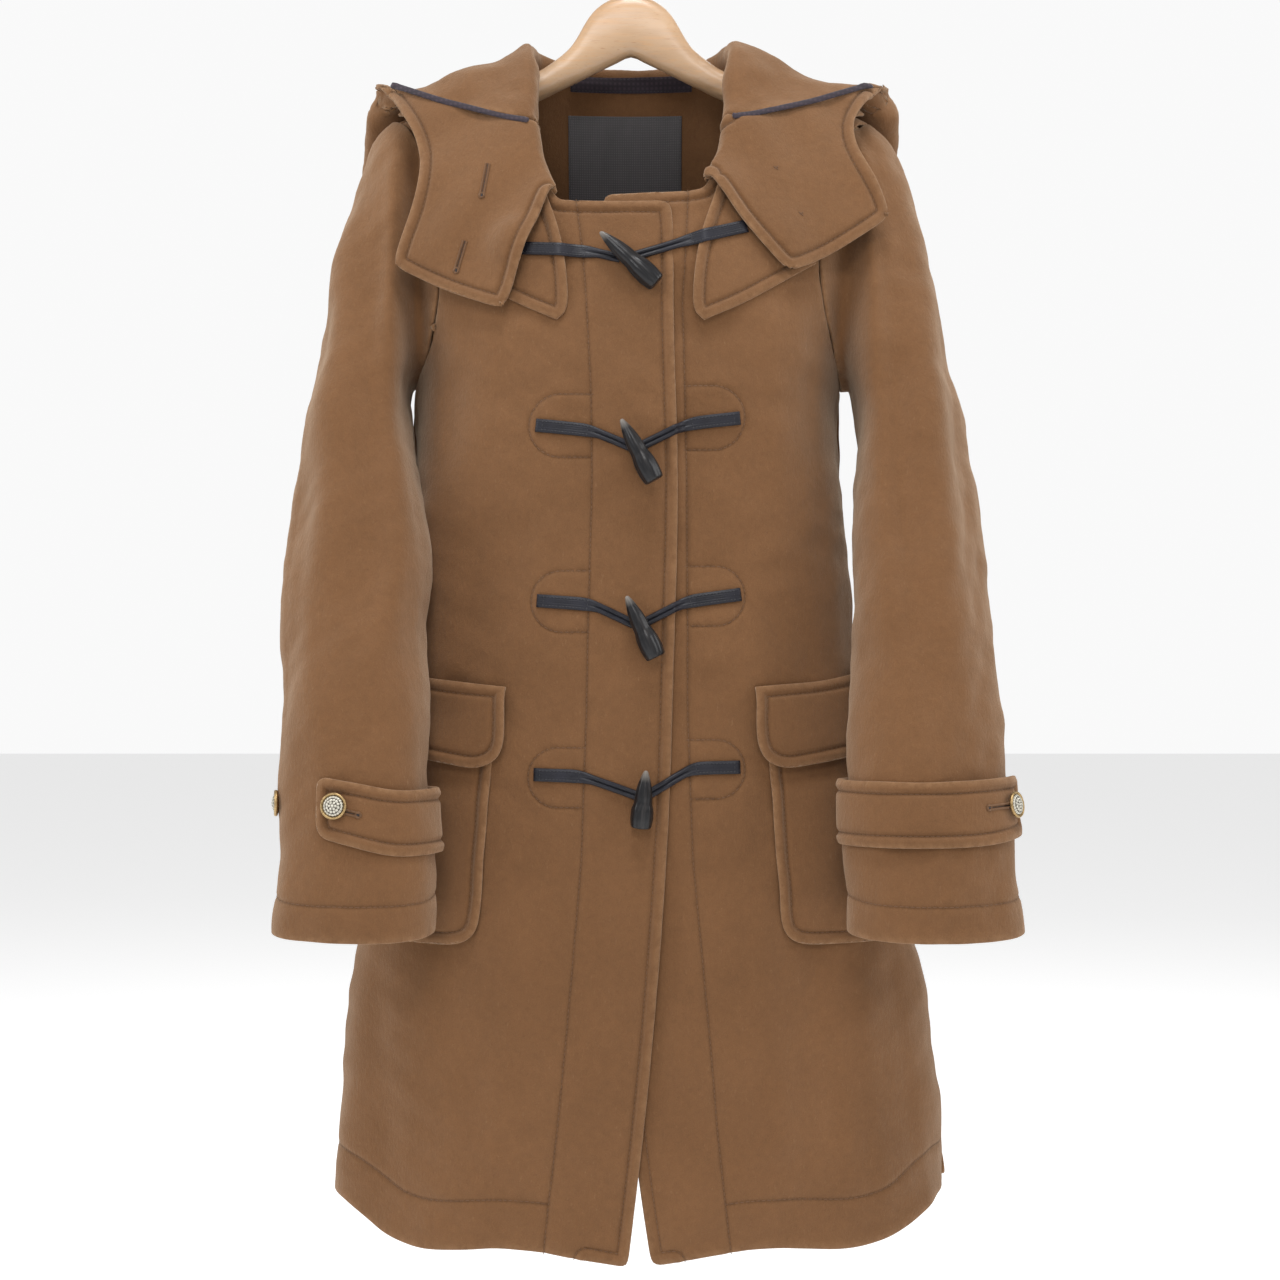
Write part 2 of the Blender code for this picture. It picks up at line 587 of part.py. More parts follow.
def panel(tops, side, face, edge_of):
    """A body panel's outer points and directions, from its top to the hem.

    tops holds each column's reach and height there; edge_of gives the reach of
    the first column by height; the last column is the armhole and side seam.
    """
    steps = np.linspace(0, 1, len(tops))
    first_height = tops[0][1]
    low_edge = section_turn(edge_of(UNDERARM_HEIGHT), side, UNDERARM_HEIGHT)
    spots = np.array([(side * reach, path_to(reach, height)) for reach, height in tops])
    spread = NECK_SPREAD * -unit(np.gradient(spots, axis=0))[:, 1]
    rows = []
    form_out = []
    for part in ARM_PARTS:
        level = (1 - part) * first_height + part * UNDERARM_HEIGHT
        edge = edge_of(level)
        straight = (1 - part) * SHOULDER_REACH + part * CHEST_HALF
        row = []
        for step, (reach, height), away in zip(steps, tops, spread):
            turn = (1 - step) * low_edge + step * pi / 2
            low = section_reach(turn, side, UNDERARM_HEIGHT)
            x = edge + (1 - part) * (reach - tops[0][0])
            x += part * (low - edge_of(UNDERARM_HEIGHT))
            x += side * away * part * (1 - part)**4
            share = (side * x - side * edge) / (straight - side * edge)
            x += side * share * (armhole_reach[face](part) - straight)
            path = (1 - part) * path_to(reach, height)
            path += part * path_to(x, UNDERARM_HEIGHT)
            row.append((x, path))
        rows.append([body_point(x, path, face) for x, path in row])
        form_out.append([skin_out(x, -face * path) for x, path in row])
    for j in range(1, SKIRT_ROWS + 1):
        part = j / SKIRT_ROWS
        row = []
        for step in steps:
            low_share = sin(step * pi / 2) ** 0.7
            hem = SIDE_HEM_HEIGHT - hem_drop[face](low_share)
            height = (1 - part) * UNDERARM_HEIGHT + part * hem
            edge = section_turn(edge_of(height), side, height)
            turn = (1 - step) * edge + step * pi / 2
            row.append(body_at(section_reach(turn, side, height), height, face))
        rows.append(row)
    points = np.array(rows)
    out = grid_normals(points, 1)
    if out[ARM_ROWS, 1, 1] * face < 0:
        out = -out
    out[1:ARM_ROWS] = form_out[1:ARM_ROWS]
    out[0] = form_out[0]
    return points, square_to_seams(points, out)


def square_to_seams(points, out):
    """A panel's directions, made square to the shoulder and side seams."""
    on_shoulder = np.abs(points[0, :, 0]) >= NECK_REACH - 1e-6
    out[0, on_shoulder] = (0, 0, 1)
    out[ARM_ROWS:, -1] *= (1, 0, 1)
    out[0, -1] = (0, 0, 1)
    return unit(out)


def shoulder_tops(neck_points, side):
    """A panel's top points: along the neckline, then along the shoulder."""
    reaches = np.linspace(NECK_REACH, SHOULDER_REACH, 7)[1:]
    shoulder = [(side * reach, shoulder_height(reach)) for reach in reaches]
    return neck_points + shoulder


def overlap_depth(reach, height):
    """How far the under front lies behind the one that laps over it."""
    past = reach - edge_reach[-1](height)
    ease = np.clip((past - LAP_START) / LAP_EASE, 0, 1)
    return LAP_DEPTH * (1 - ease * ease * (3 - 2 * ease))


# ---------------------------------------------------------------- panels
def front_points(side):
    """The outer points of one front."""
    name = "right" if side < 0 else "left"
    edge = edge_reach[side]
    heights = column(NECK_COLUMNS, "reach", name)
    top_edge = (edge(-0.228), heights(0.0))
    first = 0 if side < 0 else 1
    reaches = [row.reach for row in NECK_COLUMNS[first:]]
    neck = [top_edge] + [(side * r, heights(r)) for r in reaches]
    points, normals = panel(shoulder_tops(neck, side), side, -1, edge)
    if side > 0:
        for spot, out in zip(points.reshape(-1, 3), normals.reshape(-1, 3)):
            spot -= out * overlap_depth(spot[0], spot[2])
    points[0, np.abs(points[0, :, 0]) >= NECK_REACH - 1e-6, 1] = -SEAM_GAP / 2
    points[ARM_ROWS:, -1, 1] = -SEAM_GAP / 2
    return points, normals


def back_points():
    """The outer points of the back, from the right armhole to the left."""
    heights = column(BACK_NECK, "reach", "height")
    neck = [(r, heights(r)) for r in (*BACK_NECK_COLUMNS, NECK_REACH)]
    halves = []
    for side in (-1, 1):
        tops = shoulder_tops([(side * r, h) for r, h in neck], side)
        points, normals = panel(tops, side, 1, lambda height: 0.0)
        points[0, np.abs(points[0, :, 0]) >= NECK_REACH - 1e-6, 1] = SEAM_GAP / 2
        points[ARM_ROWS:, -1, 1] = SEAM_GAP / 2
        halves.append((points, normals))
    (right, right_out), (left, left_out) = halves
    left_out[:, 0] = unit(left_out[:, 0] * (0, 1, 1))
    points = np.concatenate((right[:, :0:-1], left), axis=1)
    normals = np.concatenate((right_out[:, :0:-1], left_out), axis=1)
    return points, normals


def make_panels(wool):
    """The two fronts and the back."""
    solids = {}
    for name, side in SIDES.items():
        points, normals = front_points(side)
        solids[name] = solid_from(
            f"front_{name}", points, points - normals * CLOTH, wool)
    points, normals = back_points()
    solids["back"] = solid_from("back", points, points - normals * CLOTH, wool)
    return solids


# ---------------------------------------------------------------- sleeves
def armhole_ring(side):
    """The armhole's points and directions, shoulder, front, underarm, back."""
    front, front_out = front_points(side)
    back, back_out = back_points()
    last = -1 if side > 0 else 0
    arm = slice(1, ARM_ROWS)
    shoulder = front[0, -1] * (1, 0, 1)
    under = front[ARM_ROWS, -1] * (1, 0, 1)
    ring = np.concatenate((
        [shoulder], front[arm, -1], [under], back[arm, last][::-1]))
    outs = np.concatenate((
        [(0, 0, 1)], front_out[arm, -1], [(side, 0, 0)], back_out[arm, last][::-1]))
    along = np.roll(ring, -1, axis=0) - np.roll(ring, 1, axis=0)
    away = unit(np.cross(along, outs))
    away *= np.sign(np.sum(away * (side, 0, 0), axis=1, keepdims=True))
    away[ARM_ROWS] = (0, 0, 1)
    return ring, outs, away


def sleeve_spot(row, side, turn, dip=0.0):
    """A point of a sleeve's ring, by its turn from the outer side to the front."""
    name = "right" if side < 0 else "left"
    near = getattr(row, f"in_{name}")
    far = getattr(row, f"out_{name}")
    across = np.sign(cos(turn)) * abs(cos(turn)) ** (2 / SLEEVE_SQUARE)
    ahead = np.sign(sin(turn)) * abs(sin(turn)) ** (2 / SLEEVE_SQUARE)
    reach = (near + far) / 2 + across * (far - near) / 2
    reach -= row.turn * row.half * ahead * (1 - across * across)
    return np.array((side * reach, row.middle - ahead * row.half,
                     row.height - dip * ahead))


def sleeve_ring(row, side, dip):
    """One ring of the sleeve, from its outer side round the front."""
    turns = np.linspace(0, 2 * pi, 2 * ARM_ROWS + 1)[:-1]
    return np.array([sleeve_spot(row, side, turn, dip) for turn in turns])


def sleeve_points(side):
    """A sleeve's outer points, from the armhole seam to the cuff."""
    ring, outs, away = armhole_ring(side)
    dips = np.linspace(0, CUFF_DIP, len(SLEEVE))
    tube = [sleeve_ring(row, side, dip) for row, dip in zip(SLEEVE, dips)]
    start = ring + away * SEAM_GAP * 1.3
    chord = np.linalg.norm(tube[0] - start, axis=1, keepdims=True)
    turns = np.linspace(0, 2 * pi, len(ring) + 1)[:-1, None]
    under = (1 - np.cos(turns)) / 2
    least = SLEEVE_LEAD[0] + (SLEEVE_LEAD[1] - SLEEVE_LEAD[0]) * under
    outward = unit(away + under**4 * np.array((side * 1.5, 0, 0)))
    lead = start + outward * np.maximum(chord * 0.10, least)
    trail = tube[0] + unit(tube[0] - tube[1]) * chord * 0.45
    head = []
    for j in range(SLEEVE_HEAD_ROWS):
        t = j / SLEEVE_HEAD_ROWS
        head.append((1 - t)**3 * start + 3 * t * (1 - t)**2 * lead
                    + 3 * t**2 * (1 - t) * trail + t**3 * tube[0])
    points = np.array(head + tube)
    normals = grid_normals(points, 1, tube=True)
    if normals[-1, 0, 0] * side < 0:
        normals = -normals
    normals[0] = outs
    return points, normals


def make_sleeves(wool):
    """Both sleeves, each one tube from armhole to cuff."""
    solids = {}
    for name, side in SIDES.items():
        points, normals = sleeve_points(side)
        solids[name] = solid_from(
            f"sleeve_{name}", points, points - normals * CLOTH, wool, tube=True)
    return solids


# ---------------------------------------------------------------- lying pieces
def settle(high, low, below, first=0):
    """Raise a lying piece where its faces come too near the solids below.

    Only the columns from first on are raised; the rest keep their seam.
    """
    trees = [tree_of(solid) for solid in below]
    rows, columns = low.shape[:2]
    shares = np.linspace(0, 1, SETTLE_STEPS)
    for _ in range(SETTLE_ROUNDS):
        for i in range(rows - 1):
            for j in range(first, columns - 1):
                block = (slice(i, i + 2), slice(j, j + 2))
                corners = low[block]
                out = unit(np.mean(high[block] - corners, axis=(0, 1)))
                need = 0.0
                for s in shares:
                    for t in shares:
                        edge = (1 - s) * corners[0] + s * corners[1]
                        spot = (1 - t) * edge[0] + t * edge[1]
                        need = max(need, shortfall(trees, spot, out))
                low[block] += out * need
                high[block] += out * need


def tree_of(solid):
    """A solid's faces, to be searched."""
    mesh = solid.data
    return BVHTree.FromPolygons(
        [v.co for v in mesh.vertices], [p.vertices for p in mesh.polygons])


def shortfall(trees, spot, out):
    """How much further out a spot must lie to clear the solids below it."""
    need = -SETTLE_REACH
    for tree in trees:
        hit = tree.ray_cast(Vector(spot + out * SETTLE_REACH), Vector(-out),
                            2 * SETTLE_REACH)[0]
        if hit is not None:
            need = max(need, LAY_GAP - np.dot(spot - np.array(hit), out))
    return need


def lay(name, grid, thickness, finish, below):
    """A piece on the body; grid holds rows of (reach, height, lift)."""
    low = np.array([[lying(x, z, lift) for x, z, lift in row] for row in grid])
    high = np.array([[lying(x, z, lift + thickness) for x, z, lift in row]
                     for row in grid])
    settle(high, low, below)
    return solid_from(name, high, low, finish)


def corner_inset(above, radius):
    """How far a rounded corner stands back at a height above its edge."""
    if above >= radius:
        return 0.0
    return radius - sqrt(radius**2 - (radius - above)**2)


def make_yoke(name, side, wool, below):
    """The storm yoke's end, over the shoulder and the top of one front."""
    high, low = [], []
    for row in YOKE:
        start = path_to(row.reach, row.height)
        end_reach = armhole_reach[-1](row.armhole) - YOKE_EDGE
        end = row.armhole * path_to(CHEST_HALF, UNDERARM_HEIGHT)
        start = max(start, YOKE_START)
        end = max(end, YOKE_START)
        steps = np.linspace(0, 1, 9)
        points = [((1 - s) * row.reach + s * end_reach, (1 - s) * start + s * end)
                  for s in steps]
        low.append([skin(side * x, way, LAY_GAP) for x, way in points])
        high.append([skin(side * x, way, LAY_GAP + CLOTH) for x, way in points])
    high, low = np.array(high), np.array(low)
    settle(high, low, below)
    return solid_from(f"yoke_{name}", high, low, wool)


def make_pocket(name, side, wool, front):
    """A patch pocket and the flap that closes it."""
    edge = column(POCKET, "height", "reach")
    bottom, top = POCKET[0].height, POCKET[-1].height
    rows = []
    for above in (0.0, 0.0025, 0.008, POCKET_CORNER, 0.06, 0.11, top - bottom):
        height = bottom + above
        inset = corner_inset(above, POCKET_CORNER)
        start = section_turn(side * (edge(height) + inset), side, height)
        end = POCKET_TURN - inset / SIDE_RADIUS
        turns = np.linspace(start, end, 8)
        rows.append([(section_reach(t, side, height), height, LAY_GAP) for t in turns])
    pocket = lay(f"pocket_{name}", rows, CLOTH, wool, [front])

    over = LAY_GAP + CLOTH + SEAM_GAP
    rows = []
    for down in (0.0, 0.010, 0.016, FLAP_LENGTH - FLAP_CORNER, FLAP_LENGTH - 0.010,
                 FLAP_LENGTH - 0.003, FLAP_LENGTH):
        inset = corner_inset(FLAP_LENGTH - down, FLAP_CORNER)
        if down < 0.013:
            lift = LAY_GAP + (over - LAY_GAP) * (down / 0.010)
        else:
            lift = over + 0.003 * (down / FLAP_LENGTH)
        row = []
        height = FLAP_TOP - down
        start = section_turn(side * (FLAP_REACH + inset), side, height)
        end = POCKET_TURN - inset / SIDE_RADIUS
        for step in np.linspace(0, 1, 8):
            reach = section_reach((1 - step) * start + step * end, side, height)
            row.append((reach, height + FLAP_RISE * step, lift))
        rows.append(row)
    lay(f"pocket_flap_{name}", rows, FACED_CLOTH, wool, [front, pocket])


# ---------------------------------------------------------------- hood
def neck_seam(side):
    """The neckline's points, out and away directions, front to centre back."""
    front, front_out = front_points(side)
    back, back_out = back_points()
    first = 1 if side < 0 else 0
    on_front = slice(first, first + NECK_POINT + 1)
    centre = back.shape[1] // 2
    order = [centre + side * k for k in range(len(BACK_NECK_COLUMNS) - 1, -1, -1)]
    points = np.concatenate((front[0, on_front], back[0, order]))
    outs = np.concatenate((front_out[0, on_front], back_out[0, order]))
    points[NECK_POINT, 1] = 0.0
    along = np.gradient(points, axis=0)
    along[NECK_CORNER] = points[NECK_CORNER + 1] - points[NECK_CORNER]
    along[-1] = (-side, 0, 0)
    away = unit(np.cross(along, outs))
    away *= np.sign(away[:, 2:3])
    away[NECK_POINT] = (-side, 0, 0)
    lean = np.interp(np.arange(len(away)), (NECK_CORNER + 1, NECK_POINT, len(away)),
                     (0, 1, 0.3))
    away[:, 2] += lean
    return points, outs, unit(away)


def between(values, place):
    """A row of an array at a place between its whole numbers."""
    low = int(min(np.floor(place), len(values) - 2))
    share = place - low
    return (1 - share) * values[low] + share * values[low + 1]


def rising(neck, place, stand, lift, thickness):
    """Both sides of the cloth from the neck seam up and over the roll."""
    points, outs, away = neck
    seam = between(points, place)
    out = unit(between(outs, place))
    up = unit(between(away, place))
    foot = seam + up * SEAM_GAP * 1.5
    upper = [foot + up * row.up * stand + out * (row.out * (lift + CLOTH) - CLOTH)
             for row in ROLL]
    under = [foot + up * (row.under_up * stand)
             + out * (row.under_out * (lift - thickness))
             for row in ROLL]
    return upper, under


def way_of(point):
    """The reach and signed way down the cloth of a point near it."""
    reach, y, height = point
    return np.array((abs(reach), path_to(reach, height) * (1 if y < 0 else -1)))


def flap_line(side, neck, line, outs):
    """A throat flap's points along one line, above and under."""
    upper, under = rising(neck, line.seam, line.stand, line.near, FACED_CLOTH)
    start = way_of(between(neck[0], line.seam))
    end = np.array((line.end_reach, path_to(line.end_reach, line.end_height)))
    for s in outs:
        reach, way = (1 - s) * start + s * end
        lift = line.near + (line.middle - line.near) * min(s / 0.4, 1.0)
        lift += max((s - 0.4) / 0.6, 0.0)**2 * (line.end - line.middle)
        upper.append(skin(side * reach, way, lift))
        under.append(skin(side * reach, way, lift - FACED_CLOTH))
    return upper, under


def make_flap(name, side, wool, below):
    """A throat flap of the hood, rolled over the neckline."""
    neck = neck_seam(side)
    lines = [flap_line(side, neck, line, FLAP_OUT) for line in FLAP_LINES[side]]
    upper = np.array([line[0] for line in lines])
    under = np.array([line[1] for line in lines])
    last, last_under = piped_seam(side, neck, FACED_CLOTH)
    apart = unit(last - upper[-1]) * PIPED_GAP
    upper = np.concatenate((upper, [last - apart]))
    under = np.concatenate((under, [last_under - apart]))
    settle(upper, under, below, len(ROLL))
    solid_from(f"hood_flap_{name}", upper, under, wool)
    return upper


def piped_seam(side, neck, thickness):
    """Both sides of a cloth where flap and hood are sewn together."""
    row = HOOD[0]
    upper, under = rising(neck, row.seam, row.stand, row.near, thickness)
    start = way_of(between(neck[0], row.seam))
    end = np.array((row.edge, row.edge_way))
    for s in FLAP_OUT:
        reach, way = (1 - s) * start + s * end
        lift = row.near + (row.middle - row.near) * min(s / 0.4, 1.0)
        lift += max((s - 0.4) / 0.6, 0.0)**2 * (row.edge_lift - row.middle)
        upper.append(skin(side * reach, way, lift))
        under.append(skin(side * reach, way, lift - thickness))
    return np.array(upper), np.array(under)


def hood_line(side, place, neck):
    """One line of the hood, from the neck seam down to its fold and up again."""
    if place == HOOD[0].seam:
        both = piped_seam(side, neck, CLOTH)
        level = [PIPED_LEVEL * s for s in HOOD_OUT]
        turned = np.linspace(level[-1], 1, len(HOOD_TURN) + len(HOOD_BACK) + 1)[1:]
        steps = len(ROLL) - 1 + np.interp(
            [*level, *turned], (0, *FLAP_OUT), range(len(FLAP_OUT) + 1))
        return [[*seam[:len(ROLL)], *(between(seam, step) for step in steps)]
                for seam in both]
    row = HoodLine(**{f: column(HOOD, "seam", f)(place) for f in HoodLine._fields})
    upper, under = rising(neck, place, row.stand, row.near, CLOTH)
    start = way_of(between(neck[0], place))
    fold = np.array((row.fold, row.fold_way))
    edge = np.array((row.edge, row.edge_way))
    ahead = unit(fold - start)
    for s in HOOD_OUT:
        reach, way = (1 - s) * start + s * fold
        lift = row.near + (row.middle - row.near) * min(s / 0.4, 1.0)
        lift += max((s - 0.4) / 0.6, 0.0)**2 * (row.fold_lift - row.middle)
        upper.append(skin(side * reach, way, lift))
    rise = row.fold_lift + 2 * row.radius
    for k, angle in enumerate(HOOD_TURN, 1):
        turn = radians(angle)
        reach, way = fold + HOOD_TURN_SHARE * k * (edge - fold) + ahead * row.radius * cos(turn)
        upper.append(skin(side * reach, way, row.fold_lift + row.radius * (1 + sin(turn))))
    for s in HOOD_BACK:
        reach, way = (1 - s) * fold + s * edge
        upper.append(skin(side * reach, way, (1 - s) * rise + s * row.edge_lift))
    return upper, under


def make_hood(wool, below):
    """The hood's pouch, one cloth from flap to flap round the back of the neck."""
    upper, feet = [], []
    for side, places in ((-1, HOOD_SEAMS), (1, HOOD_SEAMS[-2::-1])):
        neck = neck_seam(side)
        for place in places:
            line, foot = hood_line(side, place, neck)
            upper.append(line)
            feet.append(foot)
    upper = np.array(upper)
    out = grid_normals(upper, 1)
    middle = len(upper) // 2
    if out[middle, len(ROLL) + 1, 1] < 0:
        out = -out
    under = upper - out * CLOTH
    for line, foot in zip(under, feet):
        line[:len(foot)] = foot
    settle(upper, under, below, len(ROLL))
    solid_from("hood", upper, under, wool)


# ---------------------------------------------------------------- cuffs
def sleeve_at(side, turn, height, lift):
    """A point above a sleeve, by its turn from the outer side to the front."""
    fields = {f: smooth([r.height for r in SLEEVE[::-1]],
                        [getattr(r, f) for r in SLEEVE[::-1]])
              for f in Sleeve._fields}

    def bare(angle, level):
        row = Sleeve(**{f: at(level) for f, at in fields.items()})
        return sleeve_spot(row, side, angle)

    round_it = bare(turn + 0.05, height) - bare(turn - 0.05, height)
    rise = bare(turn, height + 0.002) - bare(turn, height - 0.002)
    return bare(turn, height) + unit(np.cross(round_it, rise)) * lift * -side


def make_cuff(name, side, wool, gilt, sleeve):
    """The strap round a cuff with its tab, and the two buttons."""
    strap = CUFF_STRAPS[name]
    length = strap.seam_turn - strap.tab_turn
    rows = []
    for s in CUFF_STEPS:
        turn = strap.tab_turn + s * length
        from_tab = s * length * CUFF_RADIUS
        half = CUFF_STRAP_HALF - corner_inset(from_tab, CUFF_TAB_CORNER)
        half -= CUFF_TAB_NARROW * max(0.0, 1 - s / 0.2)
        middle = strap.tab_height + (strap.height - strap.tab_height) * min(s / 0.3, 1)
        rows.append([(turn, middle + half * t) for t in (-1, -0.34, 0.34, 1)])
    low = np.array([[sleeve_at(side, t, z, LAY_GAP) for t, z in row] for row in rows])
    high = np.array([[sleeve_at(side, t, z, LAY_GAP + FACED_CLOTH) for t, z in row]
                     for row in rows])
    settle(high, low, [sleeve])
    band = solid_from(f"cuff_strap_{name}", high, low, wool)
    for number, turn in enumerate(CUFF_BUTTON_TURNS[name], 1):
        carrier = band if number == 1 else sleeve
        foot = sleeve_at(side, radians(turn), strap.tab_height, 0.0)
        axis = unit(sleeve_at(side, radians(turn), strap.tab_height, 0.01) - foot)
        make_button(f"cuff_button_{name}_{number}", foot, axis, carrier, gilt)


def make_button(name, foot, axis, carrier, finish):
    """A shanked button turned about its axis, resting on what carries it."""
    first = unit(np.cross(axis, (0, 0, 1)))
    second = np.cross(axis, first)
    count = 12
    trees = [tree_of(carrier)]
    rim = [foot + BUTTON_RADIUS * BUTTON[0].radius * (
        first * cos(2 * pi * k / count) + second * sin(2 * pi * k / count))
        for k in range(count)]
    foot = foot + axis * max(shortfall(trees, spot, axis) for spot in rim)
    rings = []
    for ring in BUTTON:
        radius = ring.radius * BUTTON_RADIUS
        rings.append([foot + axis * ring.rise + radius * (
            first * cos(2 * pi * k / count) + second * sin(2 * pi * k / count))
            for k in range(count)])
    loft(name, rings, finish)


# ---------------------------------------------------------------- toggles
def make_toggle(number, row, horn, leather, below):
    """A horn toggle, the loop that holds it and the strap that carries it."""
    waist = (1 - WAIST) * np.array(row.tip) + WAIST * np.array(row.base)
    leathers = []
    for kind, end, neck, short in (("loop", row.loop_end, row.loop_neck, -LOOP_SHORT),
                                   ("strap", row.strap_end, row.strap_neck, STRAP_PAST)):
        places = np.array((end, neck, waist + (short, 0)))
        grid = []
        for step in LEATHER_STEPS:
            x, z = between(places, step)
            half = LEATHER_HEIGHT / 2 * (1.0 if step <= 1 else LEATHER_NARROW)
            grid.append([(x, z + half * t, LAY_GAP) for t in (-1, 0, 1)])
        leathers.append(lay(f"toggle_{kind}_{number}", grid, LEATHER, leather, below))

    tip, base = lying(*row.tip, 0.0), lying(*row.base, 0.0)
    axis = unit(base - tip)
    across = unit(np.cross(axis, body_normal(*row.base)))
    up = np.cross(across, axis)
    count = 12
    rings = np.array([[
        tip + (base - tip) * ring.share + ring.radius * (
            across * cos(2 * pi * k / count) + up * sin(2 * pi * k / count))
        for k in range(count)] for ring in HORN])
    up = up * np.sign(-up[1])
    trees = [tree_of(solid) for solid in (*below, *leathers)]
    fine = np.array([(1 - s) * near + s * far for near, far in zip(rings, rings[1:])
                     for s in np.linspace(0, 1, SETTLE_STEPS)])
    rings += up * max(shortfall(trees, spot, up) for spot in fine.reshape(-1, 3))
    rings += up * HORN_REST
    loft(f"toggle_{number}", rings, horn)
    return leathers


# ---------------------------------------------------------------- trims
def make_binding(name, side, tape, flap_points):
    """The bound seam between the hood and its throat flap."""
    first = len(ROLL) - 1
    near = flap_points[-1, first:]
    aside = unit(flap_points[-2, first:] - near)
    along = np.gradient(near, axis=0)
    out = unit(np.cross(along, aside))
    out *= np.sign(out[:, 2:3])
    points = near + out * (BINDING_RADIUS + LAY_GAP * 2) + aside * BINDING_RADIUS / 2
    make_tube(f"hood_binding_{name}", points, BINDING_RADIUS, tape)


def make_tube(name, points, radius, finish):
    """A round cord through points, with closed ends."""
    points = np.array(points)
    along = unit(np.gradient(points, axis=0))
    rings = []
    side = unit(np.cross(along[0], (0, 0.3, 1)))
    for point, way in zip(points, along):
        side = unit(side - way * np.dot(side, way))
        other = np.cross(way, side)
        rings.append([point + radius * (side * cos(a) + other * sin(a))
                      for a in np.linspace(0, 2 * pi, 9)[:-1]])
    loft(name, rings, finish)


def make_neck_trims(tape, woven, back):
    """The bound neck seam and the bare label, inside the back of the neck."""
    for name, reaches, heights, finish in (
            ("label", np.linspace(LABEL_MIDDLE - LABEL_HALF, LABEL_MIDDLE + LABEL_HALF, 7),
             LABEL_HEIGHTS, woven),
            ("neck_tape", np.linspace(-TAPE_HALF, TAPE_HALF, 11),
             (TAPE_BOTTOM, TAPE_TOP), tape)):
        low, high = [
            np.array([[lying(x, z, depth, 1) for x in reaches] for z in heights])
            for depth in (-CLOTH - LAY_GAP, -CLOTH - LAY_GAP - LABEL_CLOTH)]
        settle(high, low, [back])
        solid_from(name, high, low, finish)


# ---------------------------------------------------------------- hanger
def make_hanger(wood, steel):
    """The wooden hanger and its hook, whose inner top is the origin."""
    count = 14
    rings = []
    arms = [(-row.reach, row) for row in HANGER[:0:-1]] + [(r.reach, r) for r in HANGER]
    for reach, row in arms:
        middle = (row.top + row.bottom) / 2
        half_height = (row.top - row.bottom) / 2
        ring = []
        for k in range(count):
            turn = 2 * pi * k / count
            y = np.sign(cos(turn)) * abs(cos(turn)) ** HANGER_SQUARE * row.half
            z = np.sign(sin(turn)) * abs(sin(turn)) ** HANGER_SQUARE * half_height
            ring.append((reach, y, middle + z))
        rings.append(ring)
    loft("hanger", rings, wood)

    wire = HOOK_INSIDE + HOOK_RADIUS
    foot = HANGER[0].top + SEAM_GAP
    points = [(row.reach, 0, foot + row.rise) for row in HOOK_STEM]
    for turn in np.linspace(HOOK_START, HOOK_END, HOOK_STEPS):
        points.append((wire * cos(turn), 0, -HOOK_INSIDE + wire * sin(turn)))
    make_tube("hanger_hook", points, HOOK_RADIUS, steel)


# ---------------------------------------------------------------- the whole coat
def clear_scene():
    """Remove whatever the open file holds."""
    for item in list(bpy.data.objects):
        bpy.data.objects.remove(item, do_unlink=True)


def main():
    clear_scene()
    wool = material("wool", (0.205, 0.096, 0.040), 0.95)
    tape = material("tape", (0.022, 0.016, 0.024), 0.7)
    woven = material("woven_label", (0.030, 0.027, 0.026), 0.6)
    horn = material("horn", (0.012, 0.011, 0.011), 0.3)
    leather = material("leather", (0.010, 0.010, 0.014), 0.35)
    gilt = material("gilt", (0.55, 0.42, 0.24), 0.35, 1.0)
    beech = material("beech", (0.62, 0.40, 0.22), 0.45)
    steel = material("steel", (0.60, 0.58, 0.55), 0.25, 1.0)
    panels = make_panels(wool)
    sleeves = make_sleeves(wool)
    yokes = {}
    for name, side in SIDES.items():
        front = panels[name]
        yokes[name] = make_yoke(name, side, wool, [front])
        make_pocket(name, side, wool, front)
        make_cuff(name, side, wool, gilt, sleeves[name])
    fronts = [panels["right"], panels["left"], *yokes.values()]
    leathers = []
    for number, row in enumerate(TOGGLES, 1):
        leathers += make_toggle(number, row, horn, leather, fronts)
    for name, side in SIDES.items():
        flap = make_flap(name, side, wool, [*fronts, sleeves[name], *leathers[:2]])
        make_binding(name, side, tape, flap)
    make_hood(wool, [*panels.values(), *sleeves.values(), *yokes.values()])
    make_neck_trims(tape, woven, panels["back"])
    make_hanger(beech, steel)


main()
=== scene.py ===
"""A hooded wool duffle coat hanging on a wooden coat hanger, dressed for rendering.

Metres, +Z up.  The coat's front faces -Y, the wearer's right is -X.
"""
from collections import namedtuple
from math import cos, pi, radians, sin

import bpy
import numpy as np
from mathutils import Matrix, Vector
from mathutils.bvhtree import BVHTree
from mathutils.kdtree import KDTree


